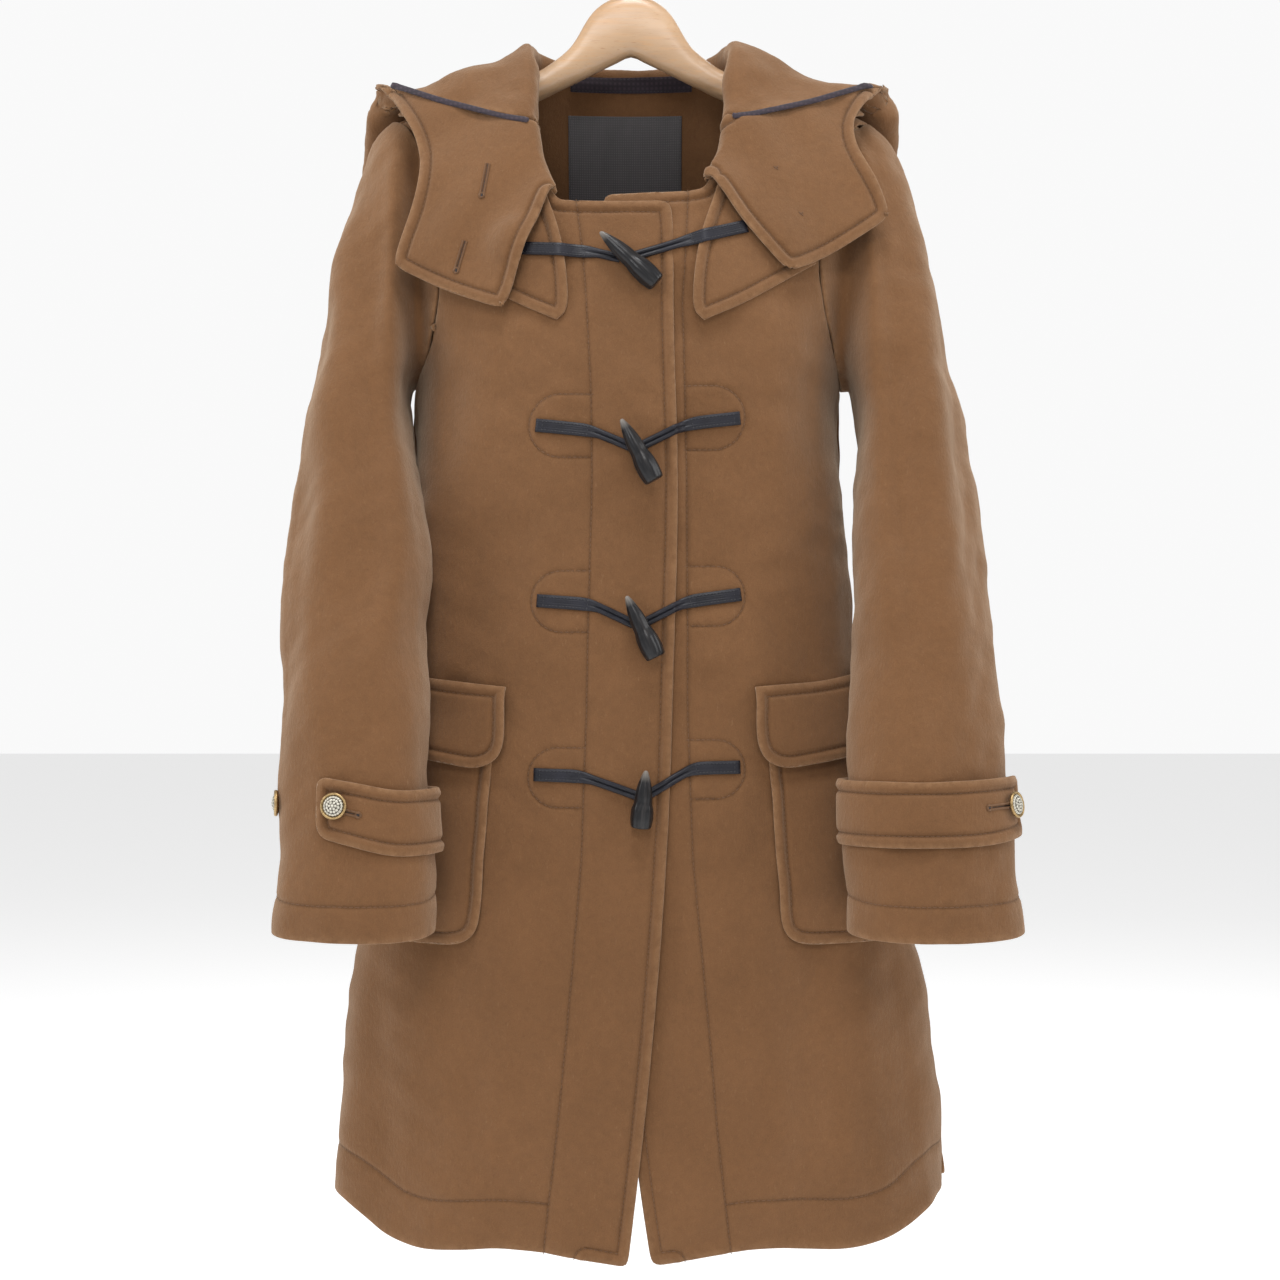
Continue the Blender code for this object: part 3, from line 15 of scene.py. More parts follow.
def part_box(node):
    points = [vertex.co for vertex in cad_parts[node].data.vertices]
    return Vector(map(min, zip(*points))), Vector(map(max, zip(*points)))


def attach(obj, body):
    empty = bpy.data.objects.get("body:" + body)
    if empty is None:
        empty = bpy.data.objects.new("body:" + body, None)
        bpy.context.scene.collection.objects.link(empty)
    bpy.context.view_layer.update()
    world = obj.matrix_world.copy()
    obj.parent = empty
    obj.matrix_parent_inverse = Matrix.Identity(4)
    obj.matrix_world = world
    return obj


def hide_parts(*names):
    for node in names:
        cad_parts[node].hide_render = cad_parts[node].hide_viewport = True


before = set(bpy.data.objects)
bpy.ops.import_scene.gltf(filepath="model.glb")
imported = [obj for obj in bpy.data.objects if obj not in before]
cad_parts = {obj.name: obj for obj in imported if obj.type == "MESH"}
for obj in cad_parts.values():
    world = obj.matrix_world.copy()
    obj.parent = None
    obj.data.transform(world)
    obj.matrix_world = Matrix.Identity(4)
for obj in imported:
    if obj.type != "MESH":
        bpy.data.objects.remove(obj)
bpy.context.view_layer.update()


# ------------------------------------------------------------------ wool melton
# All the wool is one heavy camel melton: a felted cloth some 3 mm thick with a
# short matt nap that hides its weave and catches light at grazing angles.
def shade(name):
    """A new node material: its tree and its Principled shader."""
    made = bpy.data.materials.new(name)
    made.use_nodes = True
    return made, made.node_tree, made.node_tree.nodes["Principled BSDF"]


def add_node(tree, kind, **values):
    """A node with its properties and its unlinked inputs set."""
    node = tree.nodes.new(kind)
    for key, value in values.items():
        if key.startswith("in_"):
            node.inputs[key[3:].replace("_", " ")].default_value = value
        else:
            setattr(node, key, value)
    return node


def grain(tree, source, scale, detail=2.0, roughness=0.5, stretch=(1, 1, 1)):
    """Noise on a piece's coordinates, scale in bumps for each metre."""
    mapping = add_node(tree, "ShaderNodeMapping")
    mapping.inputs["Scale"].default_value = stretch
    texture = add_node(tree, "ShaderNodeTexNoise", in_Scale=scale, in_Detail=detail,
                       in_Roughness=roughness)
    tree.links.new(source, mapping.inputs["Vector"])
    tree.links.new(mapping.outputs["Vector"], texture.inputs["Vector"])
    return texture.outputs["Fac"]


def ramp(tree, value, low, high):
    """A value stretched so that low becomes 0 and high becomes 1."""
    node = add_node(tree, "ShaderNodeMapRange")
    node.inputs["From Min"].default_value = low
    node.inputs["From Max"].default_value = high
    tree.links.new(value, node.inputs["Value"])
    return node.outputs["Result"]


def blend(tree, share, first, second, kind="MIX"):
    """Two colours mixed; either may be a socket or a colour."""
    node = add_node(tree, "ShaderNodeMix", data_type="RGBA", blend_type=kind)
    for socket, value in (("Factor", share), ("A", first), ("B", second)):
        index = {"Factor": 0, "A": 6, "B": 7}[socket]
        if isinstance(value, bpy.types.NodeSocket):
            tree.links.new(value, node.inputs[index])
        elif socket == "Factor":
            node.inputs[index].default_value = value
        else:
            node.inputs[index].default_value = (*value, 1.0)
    return node.outputs[2]


def bump(tree, height, distance, strength=1.0, below=None):
    """A bump on top of another."""
    node = add_node(tree, "ShaderNodeBump", in_Strength=strength, in_Distance=distance)
    tree.links.new(height, node.inputs["Height"])
    if below is not None:
        tree.links.new(below, node.inputs["Normal"])
    return node.outputs["Normal"]


def wool_melton(name, light, dark, pale):
    """Camel melton: heathered colour, painted highlight on its edges, painted shade in its seam
    furrows, felted bumps.
    """
    made, tree, shader = shade(name)
    place = add_node(tree, "ShaderNodeTexCoord").outputs["Object"]
    fibres = grain(tree, place, 1500, 3, 0.7)
    strands = grain(tree, place, 620, 2, 0.6, (1, 1, 0.35))
    felt = grain(tree, place, 190, 3, 0.6)
    clouds = grain(tree, place, 16, 3, 0.55)
    colour = blend(tree, ramp(tree, fibres, 0.25, 0.75), dark, light)
    colour = blend(tree, ramp(tree, strands, 0.64, 1.10), colour, pale)
    tone = blend(tree, ramp(tree, felt, 0.25, 0.75), (0.90, 0.90, 0.90), (1.06, 1.06, 1.06))
    colour = blend(tree, 1.0, colour, tone, "MULTIPLY")
    tone = blend(tree, ramp(tree, clouds, 0.3, 0.7), (0.93, 0.92, 0.91), (1.05, 1.05, 1.06))
    colour = blend(tree, 1.0, colour, tone, "MULTIPLY")
    # Painted shade: the colour is darkened along the seam furrows, where shade falls.
    sunk = add_node(tree, "ShaderNodeAttribute", attribute_name="sunk")
    worn = add_node(tree, "ShaderNodeAttribute", attribute_name="worn")
    colour = blend(tree, sunk.outputs["Fac"], colour, tuple(0.42 * c for c in dark))
    # Painted highlight: the colour is lightened towards the pale wool along the rims, broken up
    # by the felt.
    highlight_share = add_node(tree, "ShaderNodeMath", operation="MULTIPLY")
    tree.links.new(worn.outputs["Fac"], highlight_share.inputs[0])
    tree.links.new(ramp(tree, felt, 0.2, 0.75), highlight_share.inputs[1])
    colour = blend(tree, highlight_share.outputs[0], colour, pale)
    tree.links.new(colour, shader.inputs["Base Color"])
    shader.inputs["Roughness"].default_value = 0.92
    shader.inputs["Specular IOR Level"].default_value = 0.18
    shader.inputs["Sheen Weight"].default_value = 0.32
    shader.inputs["Sheen Roughness"].default_value = 0.55
    shader.inputs["Sheen Tint"].default_value = (1.0, 0.80, 0.60, 1.0)
    normal = bump(tree, felt, 0.0016, 0.30)
    normal = bump(tree, strands, 0.0007, 0.45, normal)
    normal = bump(tree, fibres, 0.0004, 0.55, normal)
    tree.links.new(normal, shader.inputs["Normal"])
    return made


WOOL_LIGHT = (0.177, 0.084, 0.034)
WOOL_DARK = (0.131, 0.058, 0.022)
# The pale wool gives random pale strands and the painted highlight along the rims.
WOOL_PALE = (0.262, 0.145, 0.072)
wool = wool_melton("camel_melton", WOOL_LIGHT, WOOL_DARK, WOOL_PALE)
thread, thread_tree, thread_shader = shade("brown_thread")
thread_place = add_node(thread_tree, "ShaderNodeTexCoord").outputs["Object"]
thread_ply = grain(thread_tree, thread_place, 2600, 1)
thread_tree.links.new(
    blend(thread_tree, thread_ply, (0.095, 0.044, 0.018), (0.165, 0.080, 0.035)),
    thread_shader.inputs["Base Color"])
thread_shader.inputs["Roughness"].default_value = 0.6
wool_thread, wool_thread_tree, wool_thread_shader = shade("camel_thread")
wool_thread_place = add_node(wool_thread_tree, "ShaderNodeTexCoord").outputs["Object"]
wool_thread_tree.links.new(
    blend(wool_thread_tree, grain(wool_thread_tree, wool_thread_place, 2600, 1),
          (0.130, 0.062, 0.027), (0.235, 0.125, 0.060)),
    wool_thread_shader.inputs["Base Color"])
wool_thread_shader.inputs["Roughness"].default_value = 0.55
CLOTH = 0.003            # one layer of melton
FACED_CLOTH = 0.0042     # two layers sewn back to back
EDGE_STITCH = 0.0082     # topstitching this far inside an edge


# ------------------------------------------------------------------ cutting cloth
# Each piece of the coat starts from the outer side of its solid wall.  It is
# refined, relaxed, folded and sunk at its seams, and gets soft, felted edges.
def outer_side(node, thickness, direction, at=None):
    """The outer side of a node's wall: its points and its triangles.

    direction points out of the wanted side; at may give it for each place.
    """
    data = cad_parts[node].data
    soup = np.zeros(len(data.vertices) * 3)
    data.vertices.foreach_get("co", soup)
    data.calc_loop_triangles()
    corners = np.zeros(len(data.loop_triangles) * 3, int)
    data.loop_triangles.foreach_get("vertices", corners)
    keys = np.round(soup.reshape(-1, 3) * 1e5).astype(int)
    _, first, merged = np.unique(keys, axis=0, return_index=True, return_inverse=True)
    points = soup.reshape(-1, 3)[first]
    triangles = merged.reshape(-1)[corners].reshape(-1, 3)
    if thickness is None:
        return points, triangles
    spans = points[triangles] - points[np.roll(triangles, -1, axis=1)]
    is_rim = (np.abs(np.linalg.norm(spans, axis=2) - thickness) < 1.5e-5).any(axis=1)
    triangles = triangles[~is_rim]
    flat = np.cross(points[triangles[:, 1]] - points[triangles[:, 0]],
                    points[triangles[:, 2]] - points[triangles[:, 0]])
    middle = points[triangles].mean(axis=1)
    towards = direction if at is None else at(middle)
    score = np.sum(flat * towards, axis=1)
    normals = flat / np.linalg.norm(flat, axis=1, keepdims=True)
    neighbours = {}
    for face, corner in enumerate(triangles):
        for a, b in ((0, 1), (1, 2), (2, 0)):
            key = tuple(sorted((corner[a], corner[b])))
            neighbours.setdefault(key, []).append(face)
    links = [[] for _ in triangles]
    for faces in neighbours.values():
        if len(faces) == 2 and np.dot(normals[faces[0]], normals[faces[1]]) > cos(radians(62)):
            links[faces[0]].append(faces[1])
            links[faces[1]].append(faces[0])
    best, best_score, seen = [], 0.0, set()
    for start in range(len(triangles)):
        if start in seen:
            continue
        region, stack = [], [start]
        seen.add(start)
        while stack:
            face = stack.pop()
            region.append(face)
            for other in links[face]:
                if other not in seen:
                    seen.add(other)
                    stack.append(other)
        total = score[region].sum()
        if total > best_score:
            best, best_score = region, total
    chosen = triangles[best]
    used, chosen = np.unique(chosen, return_inverse=True)
    return points[used], chosen.reshape(-1, 3)


def edge_pairs(triangles):
    """Each edge once, with how many triangles it has, and each side's edge."""
    sides = triangles[:, [0, 1, 1, 2, 2, 0]].reshape(-1, 2)
    low, high = sides.min(axis=1), sides.max(axis=1)
    keys = low.astype(np.int64) * (triangles.max() + 1) + high
    _, first, which, count = np.unique(
        keys, return_index=True, return_inverse=True, return_counts=True)
    return np.column_stack((low[first], high[first])), count, which.reshape(-1, 3)


def split_edges(points, triangles, too_long):
    """The triangles with every edge that is too long halved."""
    pairs, _, which = edge_pairs(triangles)
    cut = too_long(points[pairs[:, 0]], points[pairs[:, 1]])
    if not cut.any():
        return points, triangles, False
    middles = np.full(len(pairs), -1)
    middles[cut] = len(points) + np.arange(cut.sum())
    points = np.vstack((points, points[pairs[cut]].mean(axis=1)))
    mids = middles[which]
    count = (mids >= 0).sum(axis=1)
    made = [triangles[count == 0]]
    t, m = triangles[count == 3], mids[count == 3]
    made += [np.column_stack(c) for c in (
        (t[:, 0], m[:, 0], m[:, 2]), (m[:, 0], t[:, 1], m[:, 1]),
        (m[:, 2], m[:, 1], t[:, 2]), (m[:, 0], m[:, 1], m[:, 2]))]
    for k in range(3):
        chosen = (count == 1) & (mids[:, k] >= 0)
        t, m = np.roll(triangles[chosen], -k, axis=1), mids[chosen, k]
        made += [np.column_stack((t[:, 0], m, t[:, 2])), np.column_stack((m, t[:, 1], t[:, 2]))]
        chosen = (count == 2) & (mids[:, k] < 0)
        t = np.roll(triangles[chosen], -(k + 1), axis=1)
        m = np.roll(mids[chosen], -(k + 1), axis=1)
        made += [np.column_stack((m[:, 0], t[:, 1], m[:, 1])),
                 np.column_stack((t[:, 0], m[:, 0], m[:, 1])),
                 np.column_stack((t[:, 0], m[:, 1], t[:, 2]))]
    return points, np.concatenate(made), True


def relax(points, triangles, rounds, hold=0.75):
    """Points evened out with their neighbours, without shrinking the form.

    Rims only move along themselves, and their corners stay.
    """
    pairs, count, _ = edge_pairs(triangles)
    rim = count == 1
    on_rim = np.zeros(len(points), bool)
    on_rim[pairs[rim].ravel()] = True
    both = np.concatenate((pairs, pairs[:, ::-1]))
    rims = np.concatenate((rim, rim))
    both = both[rims | ~on_rim[both[:, 0]]]
    number = np.bincount(both[:, 0], minlength=len(points))[:, None]
    free = np.ones(len(points), bool)
    mean = neighbour_mean(points, both, number)
    ends = np.linalg.norm(mean - points, axis=1)
    reach = np.zeros(len(points))
    np.maximum.at(reach, both[:, 0], np.linalg.norm(
        points[both[:, 0]] - points[both[:, 1]], axis=1))
    free[on_rim & (ends > hold * 0.5 * reach)] = False
    for _ in range(rounds):
        for weight in (0.5, -0.52):
            shift = neighbour_mean(points, both, number) - points
            points = points + weight * shift * free[:, None]
    return points


def neighbour_mean(points, both, number):
    """The mean place of each point's neighbours."""
    return np.column_stack([
        np.bincount(both[:, 0], points[both[:, 1], k], minlength=len(points))
        for k in range(3)]) / number


def rounded_rim(points, triangles, rounds, where=None):
    """Turned corners come out rounded: the rim smoothed along itself."""
    rim = rim_edges(triangles)
    count = np.zeros(len(points))
    np.add.at(count, rim.ravel(), 1)
    free = (count == 2) & (True if where is None else where(points))
    for _ in range(rounds):
        total = np.zeros_like(points)
        np.add.at(total, rim[:, 0], points[rim[:, 1]])
        np.add.at(total, rim[:, 1], points[rim[:, 0]])
        points = np.where(free[:, None], 0.5 * points + 0.25 * total, points)
    return points


def point_normals(points, triangles):
    """Directions out of a side at its points."""
    flat = np.cross(points[triangles[:, 1]] - points[triangles[:, 0]],
                    points[triangles[:, 2]] - points[triangles[:, 0]])
    total = np.zeros_like(points)
    for corner in range(3):
        for k in range(3):
            total[:, k] += np.bincount(triangles[:, corner], flat[:, k],
                                       minlength=len(points))
    return total / np.maximum(np.linalg.norm(total, axis=1, keepdims=True), 1e-12)


def rim_edges(triangles):
    """The rim's edges in the direction in which their triangles run."""
    _, count, which = edge_pairs(triangles)
    sides = triangles[:, [0, 1, 1, 2, 2, 0]].reshape(-1, 2)
    return sides[(count == 1)[which.reshape(-1)]]


def from_rim(points, triangles, wanted=None, inset=0.0):
    """A measure of how far points are past a line set in from the wanted rim."""
    ends = points[rim_edges(triangles)]
    if wanted is not None:
        ends = ends[wanted(ends.mean(axis=1))]
    steps = np.linspace(0, 1, 5)[:-1, None, None]
    samples = (ends[None, :, 0] * (1 - steps) + ends[None, :, 1] * steps).reshape(-1, 3)
    tree = KDTree(len(samples))
    for index, sample in enumerate(samples):
        tree.insert(sample, index)
    tree.balance()

    def measure(places):
        return np.array([tree.find(p)[2] for p in places]) - inset

    return measure


def refine(points, triangles, longest, rounds=4):
    """Triangles split until most edges are short, relaxed on the way."""
    for _ in range(7):
        known = len(points)
        points, triangles, _ = split_edges(
            points, triangles, lambda a, b: np.linalg.norm(a - b, axis=1) > longest)
        points = relax(points, triangles, rounds)
        if len(points) < known * 1.03:
            break
    return points, triangles


def refine_near(points, triangles, lines, reach, shortest):
    """Finer triangles where a point lies near one of the sewn lines."""
    values = np.array([line(points) for line in lines])
    going = True
    while going:
        near = np.abs(values).min(axis=0) < reach
        pairs, _, _ = edge_pairs(triangles)
        close = near[pairs[:, 0]] | near[pairs[:, 1]]
        known = len(points)
        points, triangles, going = split_edges(
            points, triangles,
            lambda a, b: (np.linalg.norm(a - b, axis=1) > shortest) & close)
        fresh = points[known:]
        if going:
            values = np.column_stack((values, [line(fresh) for line in lines]))
    return relax(points, triangles, 3), triangles


Fold = namedtuple("Fold", "from_x from_z to_x to_z width rise")


def folded(points, normals, folds, face=-1):
    """How far soft folds lift or sink each point on the front or back."""
    total = np.zeros(len(points))
    facing = np.clip(normals[:, 1] * face * 2.5, 0, 1)
    for fold in folds:
        start = np.array((fold.from_x, fold.from_z))
        way = np.array((fold.to_x, fold.to_z)) - start
        place = points[:, [0, 2]] - start
        along = np.clip(place @ way / (way @ way), 0, 1)
        off = np.linalg.norm(place - along[:, None] * way, axis=1)
        wide = fold.width * (0.75 + 0.5 * along)
        ease = np.sin(np.pi * np.clip(along * 0.86 + 0.07, 0, 1)) ** 0.8
        total += fold.rise * ease * np.exp(-(off / wide)**2)
    return total * facing


def lumps(points, scale, height, seed):
    """Slight unevenness of steamed and much-used cloth, scale in lumps a metre."""
    chance = np.random.default_rng(seed + 100)
    total = np.zeros(len(points))
    for _ in range(14):
        way = chance.normal(size=3)
        way *= 2 * pi * scale * chance.uniform(0.4, 1.1) / np.linalg.norm(way)
        total += np.sin(points @ way + chance.uniform(0, 2 * pi))
    return height * total / 3.7


def groove(distance, depth, width):
    """A seam's furrow, by distance from its line."""
    return -depth * np.exp(-(distance / width)**2)


def stitched_edge(past):
    """A topstitched edge: a full roll outside the furrow, by distance past it."""
    roll = np.exp(-((past + 0.0042) / 0.0026)**2) * (past > -EDGE_STITCH - 0.001)
    return groove(past, 0.0015, 0.0017) + 0.0010 * roll


def hung(points, side):
    """Cloth falls back in front of the armholes, over a narrower band on the right side."""
    reach, height = np.abs(points[:, 0]), points[:, 2]
    across = np.exp(-((reach - 0.155) / (0.010 if side < 0 else 0.0125))**2)
    fall = np.clip((-0.150 - height) / 0.06, 0, 1) * np.clip((height + 0.450) / 0.07, 0, 1)
    front = np.clip((-points[:, 1] - 0.004) / 0.030, 0, 1)
    moved = points.copy()
    moved[:, 1] += 0.0160 * across * fall * front
    return moved


def closed_up(points, from_reach, to_reach, shift):
    """The right side's narrow gap between sleeve and body closed by this much."""
    reach = -points[:, 0]
    share = np.clip((reach - from_reach) / (to_reach - from_reach), 0, 1)
    share *= np.exp(-((points[:, 2] + 0.440) / 0.085)**4)
    return points + np.column_stack((shift * share, 0 * share, 0 * share))


def showing(normals):
    """How far a place faces forwards: folds don't reach what turns away."""
    return np.clip(0.35 - normals[:, 1] * 1.6, 0, 1)


def cloth_wall(name, points, triangles, thickness, finish, soft=0.0012, marks=None):
    """A wall of cloth behind an outer side, with rounded rims."""
    normals = point_normals(points, triangles)
    edges = rim_edges(triangles)
    count = len(points)
    outward = np.zeros_like(points)
    if len(edges):
        along = points[edges[:, 1]] - points[edges[:, 0]]
        along /= np.maximum(np.linalg.norm(along, axis=1, keepdims=True), 1e-9)
        for k in (0, 1):
            np.add.at(outward, edges[:, k], np.cross(along, normals[edges[:, k]]))
        size = np.linalg.norm(outward, axis=1, keepdims=True)
        outward = np.where(size > 1e-9, outward / np.maximum(size, 1e-9), 0)
    rim = np.unique(edges)
    centre = points[rim] - normals[rim] * thickness / 2 - outward[rim] * soft * 0.65
    points = points - outward * soft * 0.65
    layers = [points, points - normals * thickness]
    faces = [triangles, triangles[:, ::-1] + count]
    ring_of = {vertex: index for index, vertex in enumerate(rim)}
    turns = [radians(a) for a in (58, 22, -22, -58)]
    rings = [centre + normals[rim] * thickness / 2 * sin(t) + outward[rim] * soft * cos(t)
             for t in turns]
    quads = []
    if len(edges):
        ids = np.array([[ring_of[a], ring_of[b]] for a, b in edges])
        chain = [edges] + [ids + 2 * count + r * len(rim) for r in range(len(rings))]
        chain.append(edges + count)
        for near, far in zip(chain, chain[1:]):
            quads.append(np.column_stack((near[:, 1], near[:, 0], far[:, 0], far[:, 1])))
    everything = np.concatenate(layers + (rings if len(edges) else []))
    mesh = bpy.data.meshes.new(name)
    polygons = [tuple(f) for part in faces for f in part]
    polygons += [tuple(f) for part in quads for f in part]
    mesh.from_pydata(everything.tolist(), [], polygons)
    mesh.shade_smooth()
    mesh.materials.append(finish)
    for key, values in (marks or {}).items():
        layer = mesh.attributes.new(key, "FLOAT", "POINT")
        rest = [values[rim]] * len(rings) if len(edges) else []
        layer.data.foreach_set("value", np.concatenate([values, values, *rest]))
    made = bpy.data.objects.new(name, mesh)
    bpy.context.scene.collection.objects.link(made)
    return made


def line_on(points, triangles, values, keep=None):
    """The lines along which values pass through nought, as runs of points."""
    values = np.where(np.abs(values) < 1e-9, 1e-9, values)
    signs = values[triangles] > 0
    crossing = triangles[signs.any(axis=1) & ~signs.all(axis=1)]
    places, links = {}, {}
    for corner in crossing:
        cuts = []
        for a, b in ((0, 1), (1, 2), (2, 0)):
            i, j = sorted((int(corner[a]), int(corner[b])))
            if (values[i] > 0) != (values[j] > 0):
                share = values[i] / (values[i] - values[j])
                places[i, j] = points[i] * (1 - share) + points[j] * share
                cuts.append((i, j))
        if len(cuts) == 2 and (keep is None or keep(places[cuts[0]])):
            links.setdefault(cuts[0], []).append(cuts[1])
            links.setdefault(cuts[1], []).append(cuts[0])
    runs = []
    while links:
        start = next((k for k in links if len(links[k]) == 1), next(iter(links)))
        run, here, before = [start], start, None
        while True:
            onward = [k for k in links.get(here, []) if k != before and k in links]
            before_links = links.pop(here, None)
            if not onward or before_links is None:
                break
            before, here = here, onward[0]
            run.append(here)
        if len(run) > 3:
            runs.append(np.array([places[k] for k in run]))
    return runs


# Stitches: one spindle of thread for each, laid along a line of the cloth.
sewing = bpy.data.node_groups.new("row_of_stitches", "GeometryNodeTree")
for socket, kind in (("Line", "NodeSocketGeometry"), ("Pitch", "NodeSocketFloat"),
                     ("Length", "NodeSocketFloat"), ("Thickness", "NodeSocketFloat"),
                     ("Thread", "NodeSocketMaterial")):
    sewing.interface.new_socket(socket, in_out="INPUT", socket_type=kind)
sewing.interface.new_socket("Stitches", in_out="OUTPUT", socket_type="NodeSocketGeometry")
sew_in = add_node(sewing, "NodeGroupInput")
sew_out = add_node(sewing, "NodeGroupOutput")
sew_curve = add_node(sewing, "GeometryNodeMeshToCurve")
sew_points = add_node(sewing, "GeometryNodeCurveToPoints", mode="LENGTH")
sew_ball = add_node(sewing, "GeometryNodeMeshUVSphere", in_Segments=5, in_Rings=4)
sew_ball.inputs["Radius"].default_value = 0.5
sew_size = add_node(sewing, "ShaderNodeCombineXYZ")
sew_place = add_node(sewing, "GeometryNodeInstanceOnPoints")
sew_real = add_node(sewing, "GeometryNodeRealizeInstances")
sew_finish = add_node(sewing, "GeometryNodeSetMaterial")
for start, end in (
        ((sew_in, "Line"), (sew_curve, "Mesh")),
        ((sew_curve, "Curve"), (sew_points, "Curve")),
        ((sew_in, "Pitch"), (sew_points, "Length")),
        ((sew_points, "Points"), (sew_place, "Points")),
        ((sew_points, "Rotation"), (sew_place, "Rotation")),
        ((sew_ball, "Mesh"), (sew_place, "Instance")),
        ((sew_in, "Thickness"), (sew_size, "X")),
        ((sew_in, "Thickness"), (sew_size, "Y")),
        ((sew_in, "Length"), (sew_size, "Z")),
        ((sew_size, "Vector"), (sew_place, "Scale")),
        ((sew_place, "Instances"), (sew_real, "Geometry")),
        ((sew_real, "Geometry"), (sew_finish, "Geometry")),
        ((sew_in, "Thread"), (sew_finish, "Material")),
        ((sew_finish, "Geometry"), (sew_out, "Stitches"))):
    sewing.links.new(start[0].outputs[start[1]], end[0].inputs[end[1]])


def sew(name, runs, pitch=0.0038, length=0.0031, thickness=0.00062, finish=thread):
    """Stitches along runs of points, as one mesh that rides with the coat."""
    vertices, links = [], []
    for run in runs:
        first = len(vertices)
        vertices += [tuple(p) for p in run]
        links += [(first + k, first + k + 1) for k in range(len(run) - 1)]
    if not links:
        return None
    mesh = bpy.data.meshes.new(name)
    mesh.from_pydata(vertices, links, [])
    made = bpy.data.objects.new(name, mesh)
    bpy.context.scene.collection.objects.link(made)
    modifier = made.modifiers.new("stitches", "NODES")
    modifier.node_group = sewing
    values = {"Pitch": pitch, "Length": length, "Thickness": thickness, "Thread": finish}
    for item in sewing.interface.items_tree:
        if item.name in values and item.in_out == "INPUT":
            modifier[item.identifier] = values[item.name]
    bpy.context.view_layer.update()
    graph = bpy.context.evaluated_depsgraph_get()
    finished = bpy.data.meshes.new_from_object(made.evaluated_get(graph))
    made.modifiers.clear()
    made.data = finished
    if not finished.materials:
        finished.materials.append(finish)
    finished.shade_smooth()
    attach(made, "root")
    return made


cloth_skins = {}         # the finished outer side of each piece, to lay trims on


def finish_cloth(name, node, points, triangles, thickness, marks,
                 soft=0.0012, finish=None):
    """Wall and record a finished piece of cloth, hide the node it stands for, and hang it from
    the root.
    """
    made = cloth_wall(name, points, triangles, thickness, finish or wool, soft, marks)
    cloth_skins[name] = BVHTree.FromPolygons(points.tolist(), triangles.tolist())
    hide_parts(node)
    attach(made, "root")
    return made


# ------------------------------------------------------------------ the two fronts
# Each front is one panel with a facing sewn along its inner edge.  The right
# one laps over the left.  Edges, facing, hem and toggle patches are topstitched.
FacingSeam = namedtuple("FacingSeam", "height right left")
FACING = (
    FacingSeam(-0.982, -0.0617, 0.0717),
    FacingSeam(-0.943, -0.0578, 0.0668),
    FacingSeam(-0.890, -0.0513, 0.0612),
    FacingSeam(-0.826, -0.0452, 0.0559),
    FacingSeam(-0.700, -0.0348, 0.0441),
    FacingSeam(-0.600, -0.0312, 0.0406),
    FacingSeam(-0.540, -0.0300, 0.0404),
    FacingSeam(-0.430, -0.0271, 0.0399),
    FacingSeam(-0.365, -0.0280, 0.0385),
    FacingSeam(-0.305, -0.0312, 0.0371),
    FacingSeam(-0.273, -0.0336, 0.0388),
    FacingSeam(-0.228, -0.0392, 0.0411),
)
Patch = namedtuple("Patch", "end height half")
PATCHES = {
    "right": (Patch(-0.0717, -0.3937, 0.0222), Patch(-0.0704, -0.5178, 0.0216),
              Patch(-0.0724, -0.6422, 0.0211)),
    "left": (Patch(0.0811, -0.3877, 0.0226), Patch(0.0812, -0.5139, 0.0212),
             Patch(0.0810, -0.6364, 0.0208)),
}
FRONT_FOLDS = {
    "right": (
        Fold(-0.150, -0.420, -0.168, -0.800, 0.020, 0.0035),
        Fold(-0.118, -0.500, -0.128, -0.900, 0.018, -0.0022),
        Fold(-0.085, -0.680, -0.092, -0.960, 0.016, 0.0020),
        Fold(-0.150, -0.300, -0.120, -0.420, 0.014, -0.0030),
        Fold(-0.178, -0.760, -0.190, -0.950, 0.015, -0.0028),
        Fold(-0.100, -0.330, -0.115, -0.480, 0.020, 0.0030),
    ),
    "left": (
        Fold(0.150, -0.430, 0.170, -0.820, 0.020, 0.0038),
        Fold(0.120, -0.540, 0.134, -0.930, 0.017, -0.0024),
        Fold(0.092, -0.700, 0.102, -0.960, 0.015, 0.0018),
        Fold(0.140, -0.290, 0.128, -0.430, 0.013, -0.0045),
        Fold(0.182, -0.740, 0.205, -0.950, 0.015, -0.0030),
        Fold(0.098, -0.330, 0.116, -0.500, 0.020, 0.0030),
    ),
}
HEM_STITCH = 0.0340


def seam_at(rows, values, heights):
    """A seam's place by height, from a table that rises."""
    return np.interp(heights, [row.height for row in rows], values)


def patch_field(points, side, patch, seam):
    """How far outside a D-shaped toggle patch a point lies."""
    inner = patch.end - side * patch.half
    x = np.clip(points[:, 0], min(inner, seam), max(inner, seam))
    return np.hypot(points[:, 0] - x, points[:, 2] - patch.height) - patch.half


